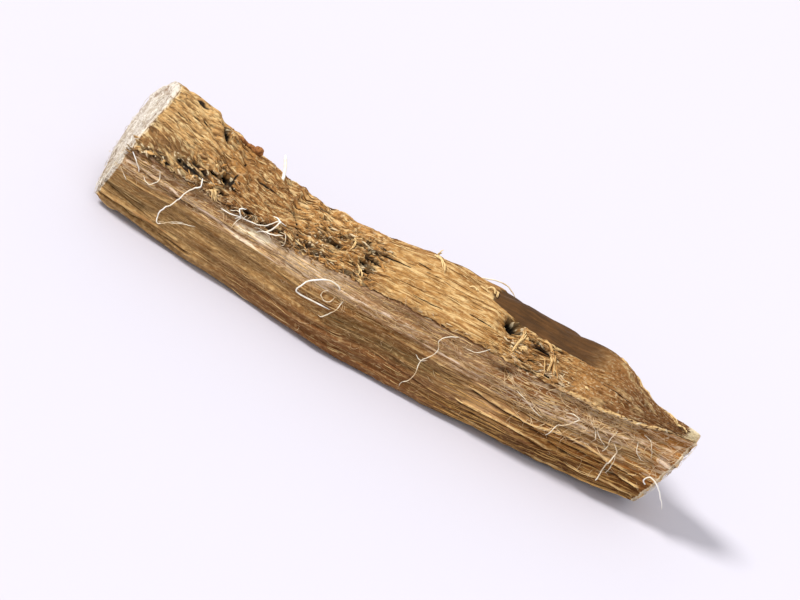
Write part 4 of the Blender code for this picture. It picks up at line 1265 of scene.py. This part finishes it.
barkFibres = {  # short fibres that lie along the bark's wrinkles
    "seed": 3, "steps": 6, "bend": 0.22, "thickness": 0.030, "rise": 0.07, "sink": 0.05,
    "from": -27.2, "to": 28.2, "stripFrom": 6.2, "stripTo": 20.6, "stripTurn": 0.31, "besideSplit": 0.06,
    "fields": (  # count, x from, x to, turn from, turn to, least and most length, half width
        (110, -28.0, -17.5, 0.012, 0.290, 0.6, 2.4, 0.045), (120, -19.0, -10.5, 0.0, 0.290, 0.6, 2.2, 0.045),
        (170, -12.0, -2.5, 0.0, 0.290, 0.6, 2.2, 0.055), (220, -3.5, 9.5, 0.003, 0.290, 1.0, 4.0, 0.034),
        (200, 9.0, 16.5, 0.003, 0.130, 0.4, 1.8, 0.050), (60, 16.0, 27.4, 0.0, 0.260, 0.3, 1.0, 0.045),
        (240, -27.0, 27.0, 0.290, 0.520, 0.8, 3.0, 0.06),
    ),
}


def barkFibreBands():
    b = barkFibres
    draw = np.random.default_rng(b["seed"])
    share = np.linspace(-0.5, 0.5, b["steps"])
    arch = np.cos(math.pi * share)
    found = []
    for count, xLow, xHigh, turnLow, turnHigh, shortest, longest, halfWidth in b["fields"]:
        x, turn = draw.uniform(xLow, xHigh, (count, 1)), draw.uniform(turnLow, turnHigh, (count, 1))
        xs = x + draw.uniform(shortest, longest, (count, 1)) * share
        climb = (lineAt(bark["leanLine"], xs) - lineAt(bark["leanLine"], x)) * lineAt(bark["leanShare"], turn)
        overs = turn * rootForm["girth"] + climb + draw.normal(0, b["bend"], (count, 1)) * share
        overs += draw.normal(0, b["bend"] * 2.0, (count, 1)) * share**2
        lifts = b["rise"] * draw.uniform(0.2, 1.0, (count, 1)) * arch - b["sink"] * (2 * share) ** 4
        widths = halfWidth * draw.uniform(0.5, 1.4, (count, 1)) * (0.15 + 0.85 * arch)
        tones = draw.uniform(0, 1, (count, 1)) + 0 * xs
        found.append(np.stack([xs, overs, lifts, widths, tones]))
    xs, overs, lifts, widths, tones = np.concatenate(found, axis=1)
    turns = overs / rootForm["girth"]
    edge = np.interp(xs, ridgeX[:, 0], barkEdge[:, 0])
    beside = (xs < b["stripFrom"]) | (xs > b["stripTo"]) | (turns > b["stripTurn"])
    clear = (turns > edge + 0.002) & (xs > b["from"]) & (xs < b["to"])
    clear &= beside | (turns < lineAt(bark["stripLine"], xs))
    for pit in barkPits:
        clear &= spotDistance(xs, turns, pit) > 1.0
    for split in barkSplits:
        clear &= splitDistance(xs, turns, split)[0] > split[4] + b["besideSplit"]
    kept = clear.all(axis=1)  # a fibre that meets the edge, the worn strip, a pit or a split is left out
    thicks = np.full(xs.shape, b["thickness"])
    return [row[kept] for row in (xs, overs, lifts, widths, thicks)] + [0.0, tones[kept, 0]]


woodFibres = {  # fibres along the split face: short and fine at the left, up to 8 mm long at the right
    "seed": 13, "steps": 12, "thickness": 0.030, "slope": 0.02, "sway": 0.06, "waver": 0.02,
    "rise": 0.06, "sink": 0.04, "from": -28.4, "to": 26.9,
    "fields": (  # count, then from and to of x, turn and length, half width, least and most tone
        (170, -28.0, -8.0, -0.200, -0.060, 0.6, 3.0, 0.024, 0.3, 0.7),
        (170, -28.0, -4.0, -0.070, 0.0, 0.5, 2.6, 0.030, 0.5, 1.0),
        (220, -10.0, 9.0, -0.210, -0.060, 0.5, 2.4, 0.026, 0.2, 0.75),
        (200, -6.0, 11.0, -0.080, 0.0, 0.4, 2.0, 0.030, 0.4, 1.0),
        (300, 7.0, 28.0, -0.215, -0.085, 1.5, 8.0, 0.040, 0.0, 1.0),
        (240, 10.0, 28.0, -0.110, -0.012, 0.5, 2.4, 0.030, 0.5, 1.0),
        (120, -27.0, 27.0, -0.450, -0.230, 2.0, 9.0, 0.06, 0.2, 0.9),
    ),
}


def woodFibreBands():
    w = woodFibres
    draw = np.random.default_rng(w["seed"])
    share = np.linspace(-0.5, 0.5, w["steps"])
    arch = np.cos(math.pi * share)
    blunt = 0.15 + 0.85 * np.sqrt(arch + 1e-9)
    found = []
    for count, xLow, xHigh, turnLow, turnHigh, shortest, longest, halfWidth, *toneSpan in w["fields"]:
        length = draw.uniform(shortest, longest, (count, 1))
        x = np.clip(draw.uniform(xLow, xHigh, (count, 1)), w["from"] + length / 2, w["to"] - length / 2)
        xs = x + length * share
        overs = draw.uniform(turnLow, turnHigh, (count, 1)) * rootForm["girth"]
        overs = overs + draw.normal(0, w["slope"], (count, 1)) * length * share
        overs += w["sway"] * np.sin(xs * 0.5 + draw.uniform(0, 6, (count, 1)))
        overs += w["waver"] * np.sin(xs * 2.6 + draw.uniform(0, 6, (count, 1)))
        lifts = w["rise"] * draw.uniform(0.2, 1.0, (count, 1)) * arch - w["sink"] * (2 * share) ** 4
        widths = halfWidth * draw.uniform(0.5, 1.4, (count, 1)) * blunt
        tones = draw.uniform(*toneSpan, (count, 1)) + 0 * xs
        found.append(np.stack([xs, overs, lifts, widths, tones]))
    xs, overs, lifts, widths, tones = np.concatenate(found, axis=1)
    edge = np.interp(xs, ridgeX[:, 0], barkEdge[:, 0])
    kept = (overs / rootForm["girth"] < edge - 0.004).all(axis=1)
    kept &= strandsAlong(woodCords + woodGaps, xs, overs / rootForm["girth"], 0.0)[1].mean(axis=1) < 0.2
    thicks = np.full(xs.shape, w["thickness"])
    return [row[kept] for row in (xs, overs, lifts, widths, thicks)] + [0.0, tones[kept, 0]]


peels = (  # half width, tone and tilt, then x, turn and lift along each strip of bark that peels off
    (0.13, 0.75, 0.05, (10.70, 0.122, 0.15), (10.75, 0.096, 0.30), (10.65, 0.060, 0.28),
     (10.58, 0.030, 0.20), (10.55, 0.006, 0.05)),
    (0.10, 0.95, -0.04, (10.95, 0.112, 0.10), (10.85, 0.080, 0.30), (10.75, 0.050, 0.25),
     (10.70, 0.020, 0.06)),
    (0.20, 0.72, 0.08, (11.55, 0.084, 0.03), (11.9, 0.104, 0.16), (12.5, 0.120, 0.24), (13.2, 0.118, 0.24),
     (13.8, 0.092, 0.20), (14.3, 0.058, 0.18), (14.8, 0.028, 0.14), (15.2, 0.004, 0.05)),
    (0.12, 0.85, -0.05, (12.3, 0.112, 0.10), (12.9, 0.122, 0.22), (13.6, 0.116, 0.20), (14.4, 0.104, 0.05)),
    (0.10, 0.90, 0.04, (13.7, 0.084, 0.20), (14.0, 0.060, 0.35), (14.2, 0.036, 0.30), (14.35, 0.012, 0.08)),
    (0.09, 0.70, 0.03, (13.2, 0.062, 0.15), (13.6, 0.046, 0.30), (13.9, 0.022, 0.22), (14.0, 0.002, 0.05)),
    (0.09, 0.85, 0.03, (14.5, 0.052, 0.15), (15.0, 0.030, 0.28), (15.4, 0.004, 0.10)),
    (0.24, 0.98, 0.10, (11.0, 0.058, 0.10), (11.3, 0.054, 0.30), (11.65, 0.046, 0.22)),
    (0.13, 0.92, 0.06, (0.1, 0.222, 0.02), (0.9, 0.192, 0.22), (1.5, 0.170, 0.24), (2.1, 0.146, 0.04)),
    (0.10, 0.95, 0.05, (0.45, 0.226, 0.05), (0.75, 0.236, 0.40), (0.95, 0.240, 0.75)),
    (0.15, 0.95, 0.08, (4.4, 0.152, 0.02), (4.9, 0.158, 0.20), (5.5, 0.150, 0.05)),
    (0.14, 0.90, 0.10, (5.9, 0.182, 0.05), (6.4, 0.190, 0.30), (6.95, 0.174, 0.10)),
    (0.12, 0.80, 0.06, (5.2, 0.184, 0.02), (5.8, 0.176, 0.18), (6.5, 0.165, 0.05)),
    (0.10, 0.98, 0.05, (6.7, 0.200, 0.05), (7.0, 0.188, 0.30), (7.05, 0.166, 0.05)),
    (0.10, 0.88, 0.04, (-5.25, 0.058, 0.02), (-4.95, 0.042, 0.18), (-4.6, 0.020, 0.20), (-4.3, 0.002, 0.05)),
    (0.13, 0.95, 0.03, (-4.5, 0.006, 0.05), (-4.2, 0.001, 0.15), (-3.8, 0.002, 0.05)),
    (0.09, 0.80, 0.04, (-6.9, 0.148, 0.02), (-6.4, 0.120, 0.18), (-6.3, 0.094, 0.15), (-6.6, 0.072, 0.02)),
    (0.26, 0.99, 0.10, (-20.0, 0.010, 0.06), (-19.6, 0.016, 0.30), (-19.1, -0.002, 0.18),
     (-18.9, -0.010, 0.04)),
    (0.16, 0.35, 0.08, (-22.2, 0.006, 0.05), (-21.4, -0.002, 0.25), (-20.6, -0.006, 0.10)),
    (0.14, 0.30, 0.08, (-26.8, 0.000, 0.05), (-26.0, 0.004, 0.22), (-25.2, -0.004, 0.05)),
    (0.12, 0.25, 0.06, (-18.4, -0.006, 0.05), (-17.6, -0.004, 0.20), (-16.6, -0.010, 0.05)),
    (0.12, 0.98, 0.05, (-20.6, 0.090, 0.05), (-20.4, 0.084, 0.20), (-20.1, 0.082, 0.05)),
    (0.09, 0.85, 0.03, (-19.6, 0.096, 0.02), (-19.7, 0.074, 0.20), (-19.3, 0.054, 0.16),
     (-18.8, 0.050, 0.02)),
    (0.14, 0.97, 0.05, (17.8, 0.042, 0.05), (18.0, 0.034, 0.20), (18.3, 0.026, 0.06)),
    (0.09, 0.80, 0.03, (9.1, 0.130, 0.05), (9.0, 0.104, 0.16), (9.15, 0.080, 0.05)),
    (0.11, 0.75, 0.03, (9.2, 0.072, 0.02), (9.9, 0.068, 0.16), (10.4, 0.076, 0.05)),
    (0.07, 0.92, 0.02, (19.3, 0.236, 0.02), (20.2, 0.226, 0.08), (21.6, 0.218, 0.08), (23.0, 0.212, 0.08),
     (24.3, 0.208, 0.04)),
    (0.12, 0.95, 0.03, (25.4, 0.200, 0.02), (26.4, 0.190, 0.14), (27.3, 0.150, 0.16), (27.7, 0.100, 0.04)),
)
peelSplit = {"seed": 31, "steps": 14, "strandWidth": 0.048, "stray": 0.20, "waver": 0.05, "thickness": 0.030}


def peelBands():  # a broad peel is a few thin strands side by side, which part from each other a little
    draw = np.random.default_rng(peelSplit["seed"])
    steps = peelSplit["steps"]
    share = np.linspace(-1, 1, steps)
    found = []
    for halfWidth, tone, tilt, *stops in peels:
        line = flowing(stops)
        strands = max(1, round(halfWidth / peelSplit["strandWidth"]))
        for n in range(strands):
            start, end = sorted(draw.uniform(0, 0.22, 2))
            run = np.linspace(start * (len(line) - 1), (1 - end) * (len(line) - 1), steps)
            x, turn, lift = (np.interp(run, np.arange(len(line)), part) for part in line.T)
            aside = (n - (strands - 1) / 2) / strands * 2 * halfWidth
            stray = aside + peelSplit["stray"] * draw.normal(0, 0.5) * share
            stray +=peelSplit["waver"] * np.sin(4 * share + draw.uniform(0, 6))
            x = x + stray * 0.7
            over = turn * rootForm["girth"] + stray * 0.5
            lift = lift * draw.uniform(0.55, 1.1)
            width = halfWidth / strands * draw.uniform(0.9, 1.6) * (0.25 + 0.75 * np.sqrt(1 - share**2))
            thick = np.full(steps, peelSplit["thickness"])
            toned = np.full(steps, np.clip(tone + draw.normal(0, 0.12), 0, 1))
            found.append((x, over, lift, width, thick, tilt * (1 - share**4), toned))
    xs, overs, lifts, widths, thicks, tilts, tones = np.array(found).transpose(1, 0, 2)
    return xs, overs, lifts, widths, thicks, tilts, tones[:, 0]


barkFlakes = {  # loose scraps of bark along the torn edge and in the rugged patches
    "seed": 21, "steps": 5, "thickness": 0.035, "tilt": 0.10, "rise": 0.14,
    "fields": (  # count, then from and to of x, turn and length, half width, least and most tone
        (110, -28.0, -11.0, -0.014, 0.026, 0.3, 1.1, 0.11, 0.0, 0.45),
        (14, -28.0, -11.0, -0.012, 0.020, 0.3, 0.8, 0.09, 0.7, 1.0),
        (40, -11.5, -2.8, 0.0, 0.150, 0.4, 1.3, 0.12, 0.1, 1.0),
        (50, -10.5, -8.0, 0.020, 0.090, 0.2, 0.5, 0.09, 0.5, 1.0),
        (40, -11.5, -3.0, -0.012, 0.012, 0.3, 0.9, 0.09, 0.1, 0.8),
        (40, 9.0, 15.5, 0.0, 0.110, 0.3, 1.0, 0.09, 0.3, 1.0),
        (40, -22.5, -17.5, 0.020, 0.110, 0.3, 0.9, 0.10, 0.0, 0.8),
        (46, 13.0, 16.4, 0.004, 0.050, 0.3, 0.8, 0.08, 0.75, 1.0),
        (26, 10.2, 12.0, 0.010, 0.070, 0.3, 0.8, 0.08, 0.75, 1.0),
        (46, 15.5, 27.0, -0.012, 0.010, 0.3, 0.9, 0.07, 0.6, 1.0),
        (30, -3.0, 9.0, -0.004, 0.008, 0.3, 0.8, 0.06, 0.3, 0.9),
    ),
}


def flakeBands():
    b = barkFlakes
    draw = np.random.default_rng(b["seed"])
    share = np.linspace(-0.5, 0.5, b["steps"])
    found = []
    for count, xLow, xHigh, turnLow, turnHigh, shortest, longest, halfWidth, *toneSpan in b["fields"]:
        x, turn = draw.uniform(xLow, xHigh, (count, 1)), draw.uniform(turnLow, turnHigh, (count, 1))
        turn = turn + np.where(turnHigh < 0.03, np.interp(x, ridgeX[:, 0], barkEdge[:, 0]), 0.0)
        length, heading = draw.uniform(shortest, longest, (count, 1)), draw.normal(0.15, 0.45, (count, 1))
        xs = x + length * share * np.cos(heading)
        overs = turn * rootForm["girth"] - length * share * np.sin(heading)
        lifts = b["rise"] * draw.uniform(0.1, 1.0, (count, 1)) * np.cos(math.pi * share * 0.9) - 0.03
        widths = halfWidth * draw.uniform(0.5, 1.5, (count, 1)) * (0.2 + 0.8 * np.cos(math.pi * share))
        tilts = b["tilt"] * draw.normal(0, 0.7, (count, 1)) + 0 * xs
        tones = draw.uniform(*toneSpan, (count, 1)) + 0 * xs
        found.append(np.stack([xs, overs, lifts, widths, tilts, tones]))
    xs, overs, lifts, widths, tilts, tones = np.concatenate(found, axis=1)
    return xs, overs, lifts, widths, np.full(xs.shape, b["thickness"]), tilts, tones[:, 0]


def barkScrap(name, shade, pale):  # the bark's colour where a scrap lies, darker or paler by its tone
    f = Finish(name)
    place = f.placeInMm()
    x = f.part(place, "X")
    mark, = f.told("tone")
    tone = barkTone(f, x, f.smooth(x, -18.5, -17.5) * f.smooth(x, -11.0, -12.0))[0]
    tone = f.layered(tone, (
        (shade, mark, 0.45, 0.10, 0.75),
        (pale, mark, 0.55, 0.95, 0.85),
        (shade, f.patches(place, 0.5), 0.54, 0.66, 0.35),
    ))
    return f.finished(tone, 0.85)


def cordWood():
    f = Finish("cordWood")
    c = woodColours
    place = f.placeInMm()
    tone = f.mix(c["left"], c["cord"], 0.35 + 0.65 * f.smooth(f.part(place, "X"), 4.0, 9.0))
    tone = f.layered(tone, ((c["rightEnd"], f.patches(place, 0.9, 3.0), 0.48, 0.62, 0.60),))
    return f.finished(tone, 0.7)


def woodScrap():
    f = Finish("woodFibre")
    c = woodColours
    place = f.placeInMm()
    mark, = f.told("tone")
    golden = f.smooth(f.part(place, "X"), 2.0, 9.0) * f.smooth(f.part(place, "Z"), 6.0, 4.0)
    tone = f.layered(c["middle"], (
        (f.mix(c["cream"], c["honey"], golden), mark, 0.35, 0.80, 1.0),
        (c["dark"], mark, 0.32, 0.12, 0.7),
        (c["dark"], f.patches(place, 0.8), 0.54, 0.66, 0.35),
    ))
    return f.finished(tone, 0.8)


fuzz = {  # fine loose bast: how much, and where along and across
    "seed": 7, "steps": 9,
    "fields": (  # count, x from, x to, turn from, turn to, least and most length, thickness
        (85, 13.0, 27.5, -0.112, -0.020, 0.8, 2.8, 0.026), (110, 11.0, 27.5, -0.105, -0.014, 0.5, 2.0, 0.015),
        (110, -6.0, 11.0, -0.075, -0.008, 0.4, 1.6, 0.013),
        (130, -28.0, -6.0, -0.066, 0.006, 0.4, 1.4, 0.014), (60, 14.0, 27.0, -0.19, -0.10, 0.4, 1.4, 0.014),
        (60, -12.0, 10.0, -0.20, -0.08, 0.3, 1.1, 0.012), (24, -26.0, 26.0, -0.44, -0.25, 0.5, 1.6, 0.016),
        (40, -22.0, -20.0, -0.020, 0.020, 0.3, 1.0, 0.014),
        (70, -18.5, -12.0, -0.030, 0.012, 0.4, 1.3, 0.015),
    ),
    "bend": 1.5, "rise": 0.11, "from": -28.6, "to": 28.4,
}


def fuzzLines():
    draw = random.Random(fuzz["seed"])
    for count, xLow, xHigh, turnLow, turnHigh, shortest, longest, thickness in fuzz["fields"]:
        for _ in range(count):
            x, turn = draw.uniform(xLow, xHigh), draw.uniform(turnLow, turnHigh)
            length = draw.uniform(shortest, longest)
            heading = draw.gauss(0.0, 0.7) + draw.choice((0.0, math.pi))
            bend = draw.gauss(0.0, fuzz["bend"]) / fuzz["steps"]
            step = length / (fuzz["steps"] - 1)
            stops = []
            for n in range(fuzz["steps"]):
                share = n / (fuzz["steps"] - 1)
                rise = fuzz["rise"] * math.sin(math.pi * min(1.0, share * 1.1)) * min(length, 1.5)
                stops.append((x, turn, 0.03 + rise))
                x += step * math.cos(heading)
                turn += step * math.sin(heading) / rootForm["girth"]
                heading += bend + draw.gauss(0.0, 0.12)
            stops = np.array(stops)
            if stops[:, 0].min() >= fuzz["from"] and stops[:, 0].max() <= fuzz["to"]:
                yield onRoot(*stops.T, 1.0), taper(fuzz["steps"], thickness * draw.uniform(0.7, 1.4))


cutFuzz = {
    "seed": 5, "left": 150, "right": 90, "steps": 8, "thickness": 0.020, "shortest": 0.8, "longest": 3.2,
    "bend": 0.9, "off": 0.08, "arch": 0.20, "beyond": 0.25, "lowest": 0.05, "highest": 11.6,
}


def cutLines():  # strands that lie over the two cuts and stand out at their rims
    k = cutFuzz
    draw = random.Random(k["seed"])
    skin = raised(woodTurns, woodHeight)
    for count, outward, rim in ((k["left"], -1, skin[0]), (k["right"], 1, skin[-1])):
        middle = rim.mean(axis=0)
        rimLow, rimHigh = rim.min(axis=0) - k["beyond"], rim.max(axis=0) + k["beyond"]
        for _ in range(count):
            start = middle + (rim[draw.randrange(len(rim))] - middle) * math.sqrt(draw.uniform(0.25, 1.0))
            heading = math.pi / 2 + draw.gauss(0, 0.5) + draw.choice((0, math.pi))
            length = draw.uniform(k["shortest"], k["longest"])
            bend = draw.gauss(0, k["bend"]) / k["steps"]
            stops = []
            y, z = start[1], start[2]
            for n in range(k["steps"]):
                plane = leftCutX(y, z) if outward < 0 else rightCutX(y, z)
                off = k["off"] + k["arch"] * math.sin(math.pi * n / (k["steps"] - 1)) * draw.uniform(0.6, 1.0)
                stops.append((plane + outward * off, y, z))
                y += math.cos(heading) * length / k["steps"]
                z += math.sin(heading) * length / k["steps"]
                heading += bend
            stops = np.array(stops)
            nearRim = (stops[:, 1:] > rimLow[1:]).all() and (stops[:, 1:] < rimHigh[1:]).all()
            if nearRim and stops[:, 2].min() > k["lowest"] and stops[:, 2].max() < k["highest"]:
                yield stops, taper(k["steps"], k["thickness"] * draw.uniform(0.6, 1.4))


fibreColours = {  # a pale and a darker colour, and the size of the patches in which they change
    "whiteBast": (paint(250, 247, 240), paint(236, 226, 206), 1.4),
    "paleBast": (paint(238, 228, 206), paint(206, 180, 142), 1.1),
    "dustyBast": (paint(226, 198, 154), paint(184, 144, 96), 0.9),
    "cutBast": (paint(232, 226, 214), paint(196, 182, 160), 0.9),
    "twigBark": (paint(168, 112, 62), paint(118, 74, 38), 0.35),
}


def fibreFinish(name):
    pale, shade, size = fibreColours[name]
    f = Finish(name)
    return f.finished(f.mix(pale, shade, f.smooth(f.patches(f.placeInMm(), size), 0.42, 0.62)), 0.7)


for name, lines, rim, finish in (
    ("brightHairs", hairLines(brightHairs), 2, fibreFinish("whiteBast")),
    ("longHairs", hairLines(longHairs), 2, fibreFinish("paleBast")),
    ("woodCords", cordLines(), 1, cordWood()),
    ("twig", twigLines(), 4, fibreFinish("twigBark")),
    ("looseBast", fuzzLines(), 1, fibreFinish("dustyBast")),
    ("cutFibres", cutLines(), 1, fibreFinish("cutBast")),
):
    finishPiece(spin(name, list(lines), rim), finish)
barkScraps = barkScrap("barkScrap", barkColours["dash"], barkColours["light"])
paleScraps = barkScrap("barkFlake", barkColours["crackAndShade"], barkColours["flake"])
finishPiece(bands("barkFibres", *barkFibreBands()), barkScraps)
finishPiece(bands("barkFlakes", *flakeBands()), paleScraps)
finishPiece(bands("barkPeels", *peelBands()), barkScraps)
finishPiece(bands("woodFibres", *woodFibreBands()), woodScrap())


# The camera looks down on the root and is turned about its line of sight, so that the root lies aslant.
look = {
    "azimuth": -2.0, "elevation": 35.0, "roll": 32.15, "distance": 0.45, "width": 72.0 * mm, "sensor": 36.0,
    "aim": Vector((0.0, 0.0, 5.2 * mm)),
}


def setCamera():
    a, e, r = (math.radians(look[name]) for name in ("azimuth", "elevation", "roll"))
    back = Vector((math.sin(a) * math.cos(e), -math.cos(a) * math.cos(e), math.sin(e)))
    level = Vector((math.cos(a), math.sin(a), 0.0))
    rise = back.cross(level)
    right = level * math.cos(r) + rise * math.sin(r)
    up = rise * math.cos(r) - level * math.sin(r)
    data = bpy.data.cameras.new("camera")
    data.sensor_width = look["sensor"]
    data.lens = look["sensor"] * look["distance"] / look["width"]
    data.clip_start, data.clip_end = 0.01, 10.0
    camera = bpy.data.objects.new("camera", data)
    bpy.context.scene.collection.objects.link(camera)
    camera.location = look["aim"] + back * look["distance"]
    camera.rotation_euler = Matrix((right, up, back)).transposed().to_euler()
    bpy.context.scene.camera = camera
    return right, up, back


lights = {
    "sunFrom": (-0.25, 0.75, 0.55),  # in the camera's own right, up and back
    "sunStrength": 2.9, "sunSoftness": 14.0, "sunColour": (1.0, 0.975, 0.94),
    "skyColour": (1.0, 0.985, 0.975), "skyStrength": 0.78,
}


def setLights(right, up, back):
    sun = bpy.data.lights.new("sun", "SUN")
    sun.energy = lights["sunStrength"]
    sun.angle = math.radians(lights["sunSoftness"])
    sun.color = lights["sunColour"]
    lamp = bpy.data.objects.new("sun", sun)
    bpy.context.scene.collection.objects.link(lamp)
    acrossPart, upPart, backPart = lights["sunFrom"]
    toward = right * acrossPart + up * upPart + back * backPart
    lamp.rotation_euler = toward.to_track_quat("Z", "Y").to_euler()
    world = bpy.data.worlds.new("sky")
    world.use_nodes = True
    sky = world.node_tree.nodes["Background"]
    sky.inputs["Color"].default_value = (*lights["skyColour"], 1.0)
    sky.inputs["Strength"].default_value = lights["skyStrength"]
    bpy.context.scene.world = world
    bpy.context.scene.view_settings.view_transform = "Standard"


def setFloor():
    bpy.ops.object.select_all(action="DESELECT")
    bpy.ops.mesh.primitive_plane_add(size=3.0, location=(0, 0, 0))
    floor = bpy.context.object
    floor.name = "floor"
    floor.data.materials.append(Finish("paleFloor").finished(paint(212, 210, 222), 0.9))


setLights(*setCamera())
setFloor()
print("camera, light and floor set")
